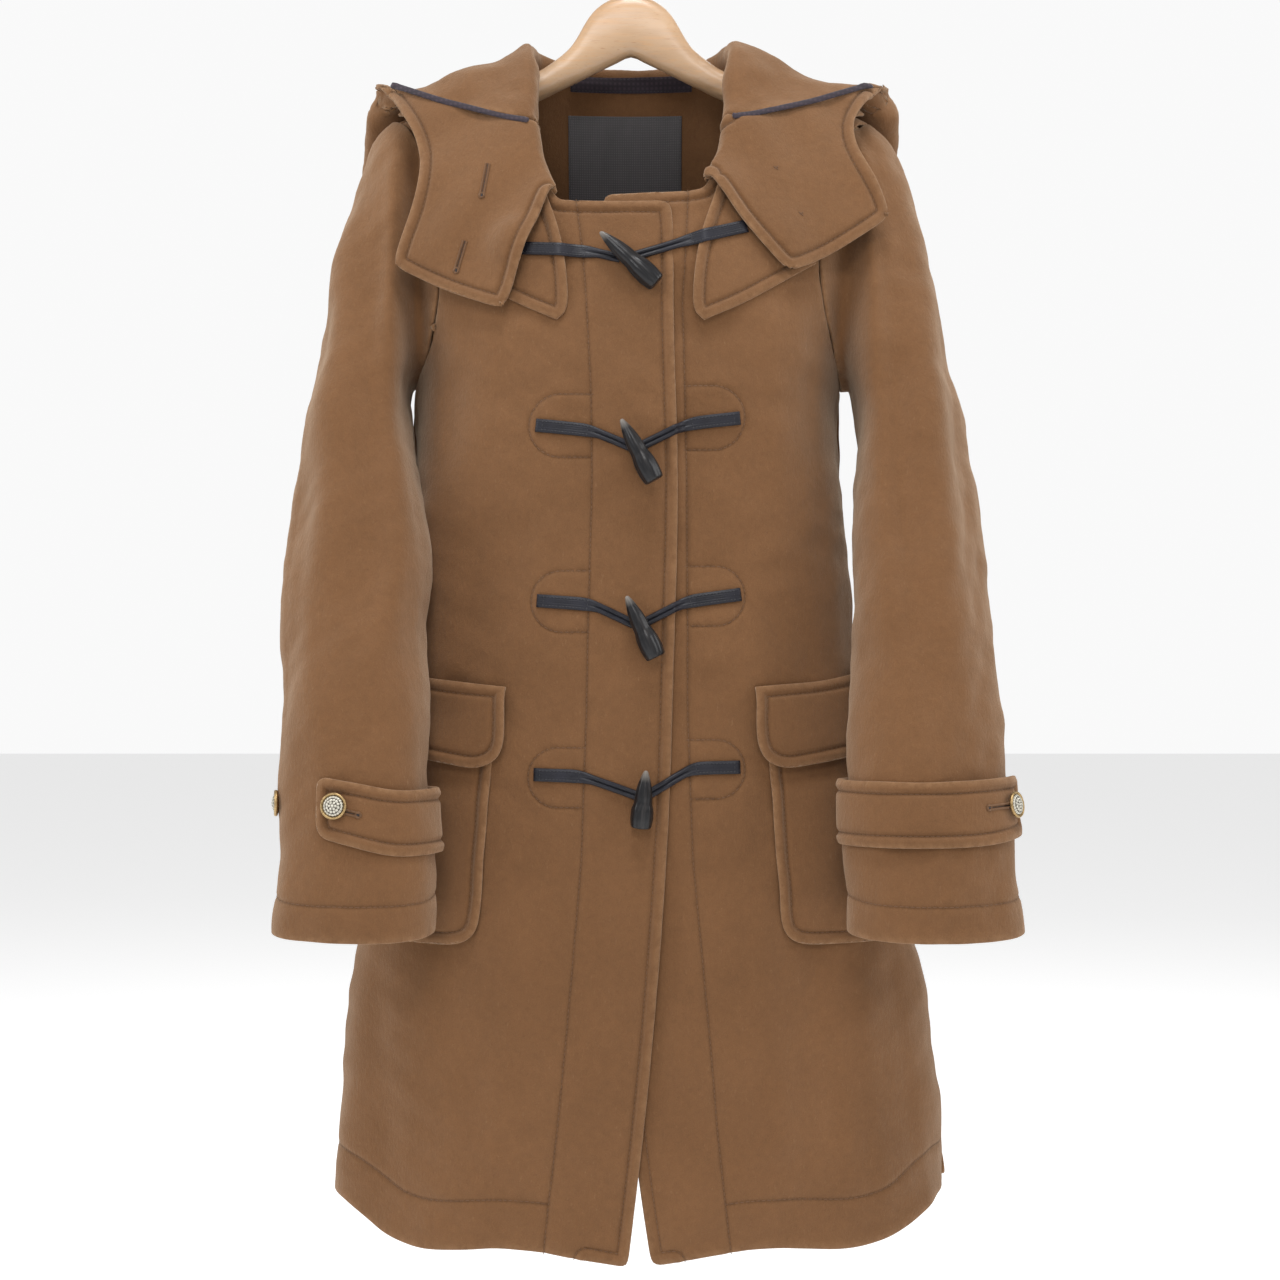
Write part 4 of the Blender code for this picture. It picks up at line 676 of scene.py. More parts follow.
for name, side in (("right", -1), ("left", 1)):
    node = f"front_{name}"
    points, triangles = outer_side(node, CLOTH, (0, -1, 0))
    points, triangles = refine(points, triangles, 0.0052)
    points = rounded_rim(points, triangles, 3)
    seam_reach = [getattr(row, name) for row in FACING]

    def facing_line(p, side=side, reaches=seam_reach):
        return side * (p[:, 0] - seam_at(FACING, reaches, p[:, 2]))

    def on_front_edge(p):
        return ((np.abs(p[:, 0]) < 0.060) & (p[:, 2] < -0.195) & (p[:, 2] > -0.93)
                | (np.abs(p[:, 0]) < 0.031) & (p[:, 2] < -0.195))

    edge_line = from_rim(points, triangles, on_front_edge, EDGE_STITCH)
    hem_line = from_rim(points, triangles, lambda m: m[:, 2] < -0.930, HEM_STITCH)
    patch_lines = [
        lambda p, patch=patch, side=side, reaches=seam_reach: patch_field(
            p, side, patch, float(seam_at(FACING, reaches, patch.height)))
        for patch in PATCHES[name]]
    lines = [facing_line, edge_line, hem_line, *patch_lines]
    points, triangles = refine_near(points, triangles, lines, 0.0032, 0.0024)

    normals = point_normals(points, triangles)
    facing, edge, hem = facing_line(points), edge_line(points), hem_line(points)
    beyond = facing > 0
    rise = folded(points, normals, FRONT_FOLDS[name])
    rise += lumps(points, 14, 0.0016, 1 + side) + lumps(points, 45, 0.0005, 3 + side)
    rise += groove(facing, 0.0011, 0.0020) + stitched_edge(edge) * (edge < 0.02)
    rise += np.where(beyond, groove(hem, 0.0009, 0.0020), 0)
    # Painted shade: a dark mark along each seam's furrow, for the wool's colour.
    sunk = np.maximum(np.exp(-(facing / 0.0009)**2) * 0.55,
                      np.exp(-(edge / 0.0008)**2) * 0.45)
    sunk = np.maximum(sunk, np.where(beyond, np.exp(-(hem / 0.0009)**2) * 0.6, 0))
    for line in patch_lines:
        off = np.where(beyond, line(points), 1.0)
        rise += groove(off, 0.0008, 0.0018) + np.where(off < 0, 0.0004, 0)
        sunk = np.maximum(sunk, np.exp(-(off / 0.0008)**2) * 0.6)
    if side > 0:         # under the lap it lies flat and a little further back
        under = np.clip((0.030 - points[:, 0]) / 0.012, 0, 1)
        rise *= 1 - under
        points[:, 1] += 0.0014 * under
    points = hung(points + normals * rise[:, None], side)
    if side < 0:
        points = closed_up(points, 0.110, 0.160, -0.0060)
    # Painted highlight: a pale mark along the rims, for the wool's colour.
    worn = np.exp(-(from_rim(points, triangles)(points) / 0.0035)**2) * 0.55
    front = finish_cloth(
        f"front_panel_{name}", node, points, triangles, CLOTH,
        {"sunk": sunk, "worn": worn})

    runs = line_on(points, triangles, facing)
    runs += line_on(points, triangles, edge)
    runs += line_on(points, triangles, hem,
                    lambda p: side * p[0] > side * seam_at(FACING, seam_reach, p[2]))
    for line in patch_lines:
        runs += line_on(points, triangles, line(points),
                        lambda p: side * p[0] > side * seam_at(FACING, seam_reach, p[2]))
    sew(f"front_stitches_{name}", runs)

# ------------------------------------------------------------------ the back
# One plain panel, sewn to the fronts at shoulders and sides, with the same hem.
BACK_FOLDS = (
    Fold(-0.105, -0.420, -0.125, -0.940, 0.024, 0.0045),
    Fold(-0.050, -0.520, -0.058, -0.960, 0.020, -0.0035),
    Fold(0.020, -0.470, 0.030, -0.960, 0.022, 0.0030),
    Fold(0.088, -0.400, 0.110, -0.930, 0.024, -0.0040),
    Fold(0.140, -0.480, 0.165, -0.950, 0.020, 0.0042),
    Fold(-0.160, -0.560, -0.185, -0.950, 0.018, -0.0035),
)
points, triangles = outer_side("back", CLOTH, (0, 1, 0))
points, triangles = refine(points, triangles, 0.0052)
points = rounded_rim(points, triangles, 3)

back_hem_line = from_rim(points, triangles, lambda m: m[:, 2] < -0.930, HEM_STITCH)
points, triangles = refine_near(points, triangles, [back_hem_line], 0.0032, 0.0024)
normals = point_normals(points, triangles)
hem = back_hem_line(points)
rise = folded(points, normals, BACK_FOLDS, 1)
clear_of_label = np.clip((-0.215 - points[:, 2]) / 0.05, 0, 1)
rise += (lumps(points, 13, 0.0018, 8) + lumps(points, 45, 0.0005, 9)) * clear_of_label
rise += groove(hem, 0.0009, 0.0020)
points = closed_up(points + normals * rise[:, None], 0.110, 0.160, -0.0060)
# The marks paint shade along the seam furrows and a highlight along the rims.
finish_cloth("back_panel", "back", points, triangles, CLOTH,
             {"sunk": np.exp(-(hem / 0.0009)**2) * 0.6,
              "worn": np.exp(-(from_rim(points, triangles)(points) / 0.0035)**2) * 0.5})
sew("back_stitches", line_on(points, triangles, hem))

# ------------------------------------------------------------------ storm yoke
# A second layer over each shoulder whose rounded end hangs on the front,
# topstitched all round its free edge.
for name, side in (("right", -1), ("left", 1)):
    points, triangles = outer_side(f"yoke_{name}", CLOTH, (0, -1, 0.3))
    points, triangles = refine(points, triangles, 0.0034, 3)
    yoke_line = from_rim(points, triangles, lambda m: m[:, 2] < -0.150, EDGE_STITCH)
    points, triangles = refine_near(points, triangles, [yoke_line], 0.003, 0.0020)
    normals = point_normals(points, triangles)
    line = yoke_line(points)
    rise = stitched_edge(line) + lumps(points, 30, 0.0006, 4 + side)
    points = hung(points + normals * rise[:, None], side)
    # The marks paint shade along the seam furrows and a highlight along the rims.
    finish_cloth(f"yoke_end_{name}", f"yoke_{name}", points, triangles, CLOTH,
                 {"sunk": np.exp(-(line / 0.0008)**2) * 0.6,
                  "worn": np.exp(-(from_rim(points, triangles)(points) / 0.003)**2) * 0.6})
    sew(f"yoke_stitches_{name}", line_on(points, triangles, line))

# ------------------------------------------------------------------ sleeves
# Set-in sleeves, each a tube with a soft crease down its front and a stitched
# hem.  They hang a little forward of the body.
SLEEVE_FOLDS = {
    "right": (
        Fold(-0.208, -0.190, -0.214, -0.520, 0.012, 0.0062),
        Fold(-0.186, -0.300, -0.184, -0.540, 0.012, -0.0062),
        Fold(-0.174, -0.180, -0.173, -0.430, 0.007, 0.0030),
        Fold(-0.234, -0.300, -0.243, -0.640, 0.013, -0.0046),
        Fold(-0.160, -0.420, -0.178, -0.600, 0.010, 0.0022),
        Fold(-0.225, -0.520, -0.212, -0.640, 0.010, 0.0018),
    ),
    "left": (
        Fold(0.206, -0.200, 0.224, -0.560, 0.013, 0.0062),
        Fold(0.188, -0.300, 0.192, -0.560, 0.012, -0.0060),
        Fold(0.174, -0.190, 0.174, -0.430, 0.007, 0.0030),
        Fold(0.234, -0.300, 0.252, -0.640, 0.013, -0.0046),
        Fold(0.168, -0.150, 0.178, -0.185, 0.006, -0.0035),
        Fold(0.176, -0.420, 0.192, -0.620, 0.010, 0.0022),
    ),
}
SLEEVE_BACK_FOLDS = {
    "right": (Fold(-0.200, -0.250, -0.196, -0.620, 0.016, -0.0040),
              Fold(-0.226, -0.300, -0.222, -0.600, 0.014, 0.0030)),
    "left": (Fold(0.202, -0.260, 0.214, -0.620, 0.016, -0.0040),
             Fold(0.228, -0.300, 0.240, -0.600, 0.014, 0.0030)),
}
SLEEVE_HEM = 0.0245
for name, side in (("right", -1), ("left", 1)):
    low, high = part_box(f"sleeve_{name}")
    box_middle = (low + high) / 2

    def off_axis(p, side=side):
        """Out of the sleeve's middle, which leans forward as it falls."""
        fall = np.clip((-p[:, 2] - 0.30) / 0.40, 0, 1)
        middle = np.column_stack((
            np.full(len(p), side * 0.200), -0.015 - 0.110 * fall, p[:, 2]))
        return p - middle

    points, triangles = outer_side(f"sleeve_{name}", CLOTH, None, off_axis)
    points, triangles = refine(points, triangles, 0.0052)
    points = rounded_rim(points, triangles, 4)
    sleeve_hem_line = from_rim(points, triangles, lambda m: m[:, 2] < -0.70, SLEEVE_HEM)
    points, triangles = refine_near(points, triangles, [sleeve_hem_line], 0.0032, 0.0024)
    normals = point_normals(points, triangles)
    hem = sleeve_hem_line(points)
    rise = folded(points, normals, SLEEVE_FOLDS[name])
    rise += folded(points, normals, SLEEVE_BACK_FOLDS[name], 1)
    rise += lumps(points, 17, 0.0018, 12 + side) + lumps(points, 50, 0.0005, 14 + side)
    rise += groove(hem, 0.0009, 0.0020)
    points = hung(points + normals * rise[:, None], side)
    if side < 0:
        points = closed_up(points, 0.205, 0.170, 0.0070)
    # The marks paint shade along the seam furrows and a highlight along the rims.
    finish_cloth(f"sleeve_cloth_{name}", f"sleeve_{name}", points, triangles, CLOTH,
                 {"sunk": np.exp(-(hem / 0.0009)**2) * 0.6,
                  "worn": np.exp(-(from_rim(points, triangles)(points) / 0.0035)**2) * 0.6})
    sew(f"sleeve_stitches_{name}", line_on(points, triangles, hem))

# ------------------------------------------------------------------ pockets
# Big patch pockets, each with a rounded flap over its mouth, both topstitched.
for name, side in (("right", -1), ("left", 1)):
    for kind, thickness, flat, area in (
            ("pocket", CLOTH, (0.11, 0.175), 0.0184),
            ("pocket_flap", FACED_CLOTH, (0.125, 0.062), 0.0069)):
        node = f"{kind}_{name}"
        points, triangles = outer_side(node, thickness, (0, -1, 0))
        points, triangles = refine(points, triangles, 0.0034, 3)
        low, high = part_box(node)
        top = high[2] - (0.012 if kind == "pocket" else -0.01)
        pocket_line = from_rim(points, triangles, lambda m: m[:, 2] < top, EDGE_STITCH)
        points, triangles = refine_near(points, triangles, [pocket_line], 0.003, 0.0020)
        normals = point_normals(points, triangles)
        line = pocket_line(points)
        rise = stitched_edge(line) + lumps(points, 28, 0.0012, 20 + side)
        points = points + normals * rise[:, None]
        # The marks paint shade along the seam furrows and a highlight along the rims.
        finish_cloth(f"{kind}_cloth_{name}", node, points, triangles, thickness,
                     {"sunk": np.exp(-(line / 0.0008)**2) * 0.6,
                      "worn": np.exp(-(from_rim(points, triangles)(points) / 0.003)**2) * 0.7})
        sew(f"{kind}_stitches_{name}", line_on(points, triangles, line))

# ------------------------------------------------------------------ cuff straps
# A double strap round each cuff, from the sleeve's back seam to a buttoned tab.
for name, side in (("right", -1), ("left", 1)):
    node = f"cuff_strap_{name}"
    low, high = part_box(node)
    centre = np.array((low + high) / 2)

    def off_cuff(p, centre=centre, side=side):
        return (p - np.array((side * 0.200, -0.112, 0))) * (1, 1, 0)

    points, triangles = outer_side(node, FACED_CLOTH, None, off_cuff)
    points, triangles = refine(points, triangles, 0.0030, 3)
    strap_line = from_rim(points, triangles, None, EDGE_STITCH)
    points, triangles = refine_near(points, triangles, [strap_line], 0.003, 0.0018)
    normals = point_normals(points, triangles)
    line = strap_line(points)
    rise = stitched_edge(line) + lumps(points, 34, 0.0007, 30 + side)
    points = points + normals * rise[:, None]
    # The marks paint shade along the seam furrows and a highlight along the rims.
    finish_cloth(f"cuff_strap_cloth_{name}", node, points, triangles, FACED_CLOTH,
                 {"sunk": np.exp(-(line / 0.0008)**2) * 0.6,
                  "worn": np.exp(-(from_rim(points, triangles)(points) / 0.003)**2) * 0.7})
    sew(f"cuff_strap_stitches_{name}", line_on(points, triangles, line))

# ------------------------------------------------------------------ hood
# The hood hangs open down the back; its two throat flaps lie on the shoulders,
# with the buttonholes on the right one.
HOOD_FOLDS = (
    Fold(-0.060, -0.120, -0.075, -0.300, 0.014, 0.0040),
    Fold(0.045, -0.130, 0.060, -0.320, 0.013, -0.0035),
    Fold(0.000, -0.200, 0.000, -0.340, 0.016, 0.0030),
    Fold(-0.120, -0.110, -0.140, -0.230, 0.012, -0.0035),
    Fold(0.125, -0.110, 0.140, -0.240, 0.012, 0.0035),
)
points, triangles = outer_side("hood", CLOTH, (0, 0.6, 0.8))
points, triangles = refine(points, triangles, 0.0050, 3)
points = rounded_rim(points, triangles, 12)
normals = point_normals(points, triangles)
rise = folded(points, normals, HOOD_FOLDS, 1)
rise += lumps(points, 22, 0.0022, 40) + lumps(points, 60, 0.0005, 41)
points = points + normals * rise[:, None]
# The marks paint a highlight along the rim and no seam shade.
finish_cloth("hood_cloth", "hood", points, triangles, CLOTH,
             {"sunk": np.zeros(len(points)),
              "worn": np.exp(-(from_rim(points, triangles)(points) / 0.0035)**2) * 0.6})



def bound_line(name, count=90):
    """The middle of the bound seam, from its eight-sided solid's rings."""
    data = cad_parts[f"hood_binding_{name}"].data
    corners = np.unique(np.round([v.co for v in data.vertices], 5), axis=0)
    corners = corners[np.argsort(np.abs(corners[:, 0]))]
    rings = corners.reshape(-1, 8, 3).mean(axis=1)
    steps = np.linspace(0, len(rings) - 1, count)
    line = np.column_stack([np.interp(steps, range(len(rings)), rings[:, k])
                            for k in range(3)])
    for _ in range(25):
        line[1:-1] = 0.5 * line[1:-1] + 0.25 * (line[:-2] + line[2:])
    return line


NeckPoint = namedtuple("NeckPoint", "reach height")
NECK_SEAM = (NeckPoint(0.053, -0.2310), NeckPoint(0.066, -0.2000),
             NeckPoint(0.0745, -0.1600), NeckPoint(0.080, -0.1195))
for name, side in (("right", -1), ("left", 1)):
    node = f"hood_flap_{name}"
    points, triangles = outer_side(node, FACED_CLOTH, (0, -0.8, 0.6))
    points, triangles = refine(points, triangles, 0.0032, 3)
    piped = bound_line(name)

    def flap_free(places, piped=piped):
        """The rim that is topstitched: not the neck seam, nor the bound one."""
        seamed = np.hypot(np.abs(places[:, 0]) - np.interp(
            places[:, 2], [row[1] for row in NECK_SEAM], [row[0] for row in NECK_SEAM]), 0)
        bound = np.array([np.linalg.norm(piped - p, axis=1).min() for p in places])
        return (bound > 0.009) & ((seamed > 0.004) | (places[:, 2] < -0.2345))

    points = rounded_rim(points, triangles, 14, flap_free)
    flap_line = from_rim(points, triangles, flap_free, EDGE_STITCH)
    points, triangles = refine_near(points, triangles, [flap_line], 0.003, 0.0018)
    normals = point_normals(points, triangles)
    line = flap_line(points)
    rise = stitched_edge(line) + lumps(points, 26, 0.0014, 50 + side)
    rise *= showing(normals)
    points = points + normals * rise[:, None]
    # The marks paint shade along the seam furrows and a highlight along the rims.
    finish_cloth(f"hood_flap_cloth_{name}", node, points, triangles, FACED_CLOTH,
                 {"sunk": np.exp(-(line / 0.0008)**2) * 0.6,
                  "worn": np.exp(-(from_rim(points, triangles)(points) / 0.003)**2) * 0.7})
    sew(f"hood_flap_stitches_{name}", line_on(
        points, triangles, line, lambda p: abs(p[0]) > 0.063 or p[2] < -0.236))

# ------------------------------------------------------------------ bound seams
# The seam between the hood and each throat flap is bound with dark cotton tape.
# Only its folded edge shows, lying in the seam.
def swept(name, rings, finish, own=None):
    """A closed solid through rings of points, its ends closed with fans."""
    rings = np.array(rings)
    count, sides = rings.shape[:2]
    points = np.concatenate((rings.reshape(-1, 3), [rings[0].mean(axis=0)],
                             [rings[-1].mean(axis=0)]))
    faces, last = [], (count - 1) * sides
    for k in range(sides):
        onward = (k + 1) % sides
        for r in range(0, last, sides):
            faces.append((r + k, r + onward, r + sides + onward, r + sides + k))
        faces.append((count * sides, onward, k))
        faces.append((count * sides + 1, last + k, last + onward))
    volume = sum(np.dot(points[f[0]], np.cross(points[f[i]], points[f[i + 1]]))
                 for f in faces for i in range(1, len(f) - 1))
    if volume < 0:
        faces = [f[::-1] for f in faces]
    mesh = bpy.data.meshes.new(name)
    mesh.from_pydata(points.tolist(), [], faces)
    mesh.shade_smooth()
    mesh.materials.append(finish)
    if own is not None:
        layer = mesh.attributes.new("own_place", "FLOAT_VECTOR", "POINT")
        layer.data.foreach_set("vector", own(points).ravel())
    made = bpy.data.objects.new(name, mesh)
    bpy.context.scene.collection.objects.link(made)
    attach(made, "root")
    return made


def woven(name, warp, weft, threads, roughness, sheen):
    """Plain woven ribbon: crossing threads, so many to a metre."""
    made, tree, shader = shade(name)
    place = add_node(tree, "ShaderNodeTexCoord").outputs["Object"]
    across = add_node(tree, "ShaderNodeTexWave", wave_type="BANDS", bands_direction="X",
                      in_Scale=threads / 20, in_Distortion=0.0)
    down = add_node(tree, "ShaderNodeTexWave", wave_type="BANDS", bands_direction="Z",
                    in_Scale=threads / 20, in_Distortion=0.0)
    tree.links.new(place, across.inputs["Vector"])
    tree.links.new(place, down.inputs["Vector"])
    crossing = add_node(tree, "ShaderNodeMath", operation="MULTIPLY")
    tree.links.new(across.outputs["Fac"], crossing.inputs[0])
    tree.links.new(down.outputs["Fac"], crossing.inputs[1])
    slub = grain(tree, place, 90, 3, 0.6, (1, 1, 0.25))
    colour = blend(tree, crossing.outputs[0], warp, weft)
    tone = blend(tree, slub, (0.75, 0.75, 0.75), (1.25, 1.25, 1.25))
    tree.links.new(blend(tree, 1.0, colour, tone, "MULTIPLY"), shader.inputs["Base Color"])
    shader.inputs["Roughness"].default_value = roughness
    shader.inputs["Sheen Weight"].default_value = sheen
    shader.inputs["Sheen Roughness"].default_value = 0.4
    tree.links.new(bump(tree, crossing.outputs[0], 0.0003, 0.5, bump(tree, slub, 0.0006, 0.4)),
                   shader.inputs["Normal"])
    return made


cotton = woven("binding_cotton", (0.018, 0.011, 0.018), (0.042, 0.026, 0.038), 1800, 0.8, 0.25)
BOUND_HALF = 0.0023      # half the width of the binding that shows
BOUND_THICK = 0.0010     # half its thickness
BOUND_REACH = {"right": 0.1790, "left": 0.1800}
for name, side in (("right", -1), ("left", 1)):
    line = bound_line(name)
    line = line[np.abs(line[:, 0]) < BOUND_REACH[name]]
    flap_skin = cloth_skins[f"hood_flap_cloth_{name}"]
    rings = []
    for k, spot in enumerate(line):
        along = line[min(k + 1, len(line) - 1)] - line[max(k - 1, 0)]
        along /= np.linalg.norm(along)
        near = flap_skin.find_nearest(Vector(spot))
        out = np.array(near[1])
        out = out - along * np.dot(out, along)
        out /= np.linalg.norm(out)
        across = np.cross(along, out)
        centre = spot - out * 0.0010
        slim = 1.0 if 0 < k < len(line) - 1 else 0.5
        rings.append([centre + slim * (across * cos(a) * BOUND_HALF + out * sin(a) * BOUND_THICK)
                      for a in np.linspace(0, 2 * pi, 17)[:-1]])
    bound = swept(f"bound_seam_{name}", rings, cotton)
    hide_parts(f"hood_binding_{name}")

# ------------------------------------------------------------------ neck seam and label
# Inside the back neck a strip of the same binding covers the seam of hood and
# back, and a satin label is sewn below it.  The label is bare.
satin = woven("label_satin", (0.052, 0.047, 0.049), (0.098, 0.088, 0.090), 3600, 0.42, 0.1)


def lay_ribbon(name, node, points, triangles, thickness, finish):
    """A ribbon with stitched edges, sewn to the inside of the back."""
    made = cloth_wall(name, points, triangles, thickness, finish, 0.0003)
    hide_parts(node)
    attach(made, "root")
    inside = from_rim(points, triangles, None, 0.0014)(points)
    sew(f"{name}_stitches", line_on(points, triangles, inside), 0.0026, 0.0019, 0.0004,
        waxed)


waxed, waxed_tree, waxed_shader = shade("waxed_thread")
waxed_place = add_node(waxed_tree, "ShaderNodeTexCoord").outputs["Object"]
waxed_tree.links.new(
    blend(waxed_tree, grain(waxed_tree, waxed_place, 2200, 1), (0.008, 0.008, 0.011),
          (0.040, 0.038, 0.046)), waxed_shader.inputs["Base Color"])
waxed_shader.inputs["Roughness"].default_value = 0.45
wool_behind = []
for part in ("back_panel", "hood_cloth"):
    data = bpy.data.objects[part].data
    wool_behind.append(BVHTree.FromPolygons(
        [v.co for v in data.vertices], [tuple(p.vertices) for p in data.polygons]))
NECK_TAPE_HALF = 0.0460
NECK_TAPE_HEIGHTS = np.linspace(-0.1272, -0.1158, 7)
ribbon = []
for z in NECK_TAPE_HEIGHTS:
    for x in np.linspace(-NECK_TAPE_HALF, NECK_TAPE_HALF, 41):
        met = [tree.ray_cast((x, -0.02, z), (0, 1, 0))[0] for tree in wool_behind]
        ribbon.append((x, min(m.y for m in met if m is not None) - 0.0005, z))
ribbon = np.array(ribbon).reshape(7, 41, 3)
for _ in range(3):
    eased = ribbon[:, :, 1].copy()
    eased[:, 1:-1] = 0.5 * eased[:, 1:-1] + 0.25 * (eased[:, :-2] + eased[:, 2:])
    eased[1:-1] = 0.5 * eased[1:-1] + 0.25 * (eased[:-2] + eased[2:])
    ribbon[:, :, 1] = np.minimum(eased, ribbon[:, :, 1])
grid = np.arange(7 * 41).reshape(7, 41)
low, right, up, over = grid[:-1, :-1], grid[:-1, 1:], grid[1:, :-1], grid[1:, 1:]
triangles = np.concatenate((np.stack((low, right, over), axis=-1).reshape(-1, 3),
                            np.stack((low, over, up), axis=-1).reshape(-1, 3)))
points = ribbon.reshape(-1, 3) - (0, 0.0010, 0)
lay_ribbon("neck_seam_tape", "neck_tape", points, triangles, 0.0010, cotton)
points, triangles = outer_side("label", 0.0010, (0, -1, 0.2))
points, triangles = refine(points, triangles, 0.0028, 2)
lay_ribbon("neck_label", "label", points, triangles, 0.0010, satin)

# ------------------------------------------------------------------ toggle leathers
# Each toggle hangs between a loop and a strap of dark glazed leather.  They end
# in stitched tabs, and run on as two rounded cords under the horn's waist.
leather, leather_tree, leather_shader = shade("glazed_leather")
leather_place = add_node(leather_tree, "ShaderNodeTexCoord").outputs["Object"]
pores = add_node(leather_tree, "ShaderNodeTexVoronoi", feature="SMOOTH_F1", in_Scale=1500)
leather_tree.links.new(leather_place, pores.inputs["Vector"])
creases = grain(leather_tree, leather_place, 260, 4, 0.6)
scuffs = grain(leather_tree, leather_place, 70, 3, 0.6)
leather_colour = blend(leather_tree, ramp(leather_tree, scuffs, 0.35, 0.75),
                       (0.0045, 0.0045, 0.0085), (0.014, 0.014, 0.022))
leather_tree.links.new(leather_colour, leather_shader.inputs["Base Color"])
leather_tree.links.new(ramp(leather_tree, scuffs, -0.6, 1.5),
                       leather_shader.inputs["Roughness"])
leather_shader.inputs["Coat Weight"].default_value = 0.10
leather_shader.inputs["Coat Roughness"].default_value = 0.25
leather_shader.inputs["Specular IOR Level"].default_value = 0.32
leather_normal = bump(leather_tree, creases, 0.0006, 0.5)
leather_tree.links.new(bump(leather_tree, pores.outputs["Distance"], 0.0003, 0.4,
                            leather_normal), leather_shader.inputs["Normal"])
Toggle = namedtuple("Toggle", "tip base loop_end loop_neck strap_end strap_neck")
TOGGLES = (
    Toggle((-0.0214, -0.2589), (0.0187, -0.2940), (-0.0830, -0.2665),
           (-0.0263, -0.2701), (0.0830, -0.2500), (0.0400, -0.2615)),
    Toggle((-0.0065, -0.3898), (0.0179, -0.4323), (-0.0670, -0.3933),
           (-0.0267, -0.3974), (0.0777, -0.3880), (0.0408, -0.3920)),
    Toggle((-0.0030, -0.5144), (0.0179, -0.5575), (-0.0663, -0.5172),
           (-0.0267, -0.5200), (0.0784, -0.5126), (0.0388, -0.5180)),
    Toggle((0.0109, -0.6369), (0.0074, -0.6772), (-0.0684, -0.6400),
           (-0.0336, -0.6410), (0.0777, -0.6348), (0.0436, -0.6355)),
)
TAB_HALF = 0.0047        # half a tab's height
CORDS_HALF = 0.0034      # half the height of the two cords side by side
LEATHER = 0.0022
UNDER_HORN = {"loop": -0.0040, "strap": 0.0015}


def height_of(x, z, names):
    """The foremost of some finished skins at a place seen from the front."""
    spots = [cloth_skins[name].ray_cast((x, -0.4, z), (0, 1, 0))[0] for name in names]
    return min([spot.y for spot in spots if spot is not None], default=None)


for number, row in enumerate(TOGGLES, 1):
    waist = 0.55 * np.array(row.tip) + 0.45 * np.array(row.base)
    for kind, end, neck in (("loop", row.loop_end, row.loop_neck),
                            ("strap", row.strap_end, row.strap_neck)):
        stops = np.array((end, neck, waist + (UNDER_HORN[kind], 0)))
        steps = np.concatenate(([0.0, 0.006, 0.02], np.linspace(0.05, 2.0, 46)))
        bends = np.column_stack([np.interp(steps, (0, 1, 2), stops[:, k]) for k in (0, 1)])
        for _ in range(30):
            bends[1:-1] = 0.5 * bends[1:-1] + 0.25 * (bends[:-2] + bends[2:])
        way = np.gradient(bends, axis=0)
        way /= np.linalg.norm(way, axis=1, keepdims=True)
        aside = np.column_stack((-way[:, 1], way[:, 0]))
        aside *= np.where(aside[:, 1:] < 0, -1, 1)
        corded = np.clip((steps - 0.80) / 0.45, 0, 1)
        corded = corded**2 * (3 - 2 * corded)
        half = TAB_HALF * (1 - corded) + CORDS_HALF * corded
        skins = [f"{part}_{s}" for part in ("front_panel", "yoke_end")
                 for s in ("right", "left")]
        rests = []
        for spot, out, wide in zip(bends, aside, half):
            found = [height_of(*(spot + out * wide * u), skins) for u in (-1, -0.5, 0, 0.5, 1)]
            tilt = (found[4] - found[0]) / 2
            level = min(f - tilt * u for f, u in zip(found, (-1, -0.5, 0, 0.5, 1)))
            rests.append((level, tilt))
        rests = np.array(rests)
        eased = rests.copy()
        for _ in range(12):
            eased[1:-1] = 0.5 * eased[1:-1] + 0.25 * (eased[:-2] + eased[2:])
            eased[:, 0] = np.minimum(eased[:, 0], rests[:, 0])
        rings = []
        turns = np.linspace(0, 2 * pi, 49)[:-1]
        us = np.cos(turns)
        for spot, out, wide, (level, tilt), cord, step in zip(
                bends, aside, half, eased, corded, steps):
            flat = (1 - np.abs(us)**10) ** 0.25
            ribs = 0.84 + 0.16 * np.cos(3 * pi * us) ** 2
            lobes = np.sqrt(np.clip(1 - (2 * np.abs(us) - 1)**2, 0, 1)) * 0.95 + 0.10
            top = LEATHER * ((1 - cord) * flat * ribs + cord * lobes)
            slim = min(1.0, 0.55 + step * 60)
            lift = np.where(np.sin(turns) >= 0, top, 0.10 * LEATHER * (1 - flat))
            rings.append([
                (spot[0] + out[0] * wide * u, level - 0.0003 + tilt * u - h * slim,
                 spot[1] + out[1] * wide * u) for u, h in zip(us, lift)])
        strip = swept(f"{kind}_leather_{number}", rings, leather)
        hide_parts(f"toggle_{kind}_{number}")
        runs = []
        tab = np.flatnonzero((steps > 0.05) & (steps < 0.92))
        for share in (-0.62, 0.62):
            runs.append(np.array([
                (bends[k][0] + aside[k][0] * half[k] * share,
                 eased[k][0] - 0.0003 + eased[k][1] * share - LEATHER * 0.93,
                 bends[k][1] + aside[k][1] * half[k] * share) for k in tab]))
        for k in (tab[0], tab[-1]):
            runs.append(np.array([
                (bends[k][0] + aside[k][0] * half[k] * share,
                 eased[k][0] - 0.0003 + eased[k][1] * share - LEATHER * 0.95,
                 bends[k][1] + aside[k][1] * half[k] * share)
                for share in np.linspace(-0.62, 0.62, 7)]))
        sew(f"{kind}_leather_stitches_{number}", runs, 0.0024, 0.0018, 0.00055, waxed)

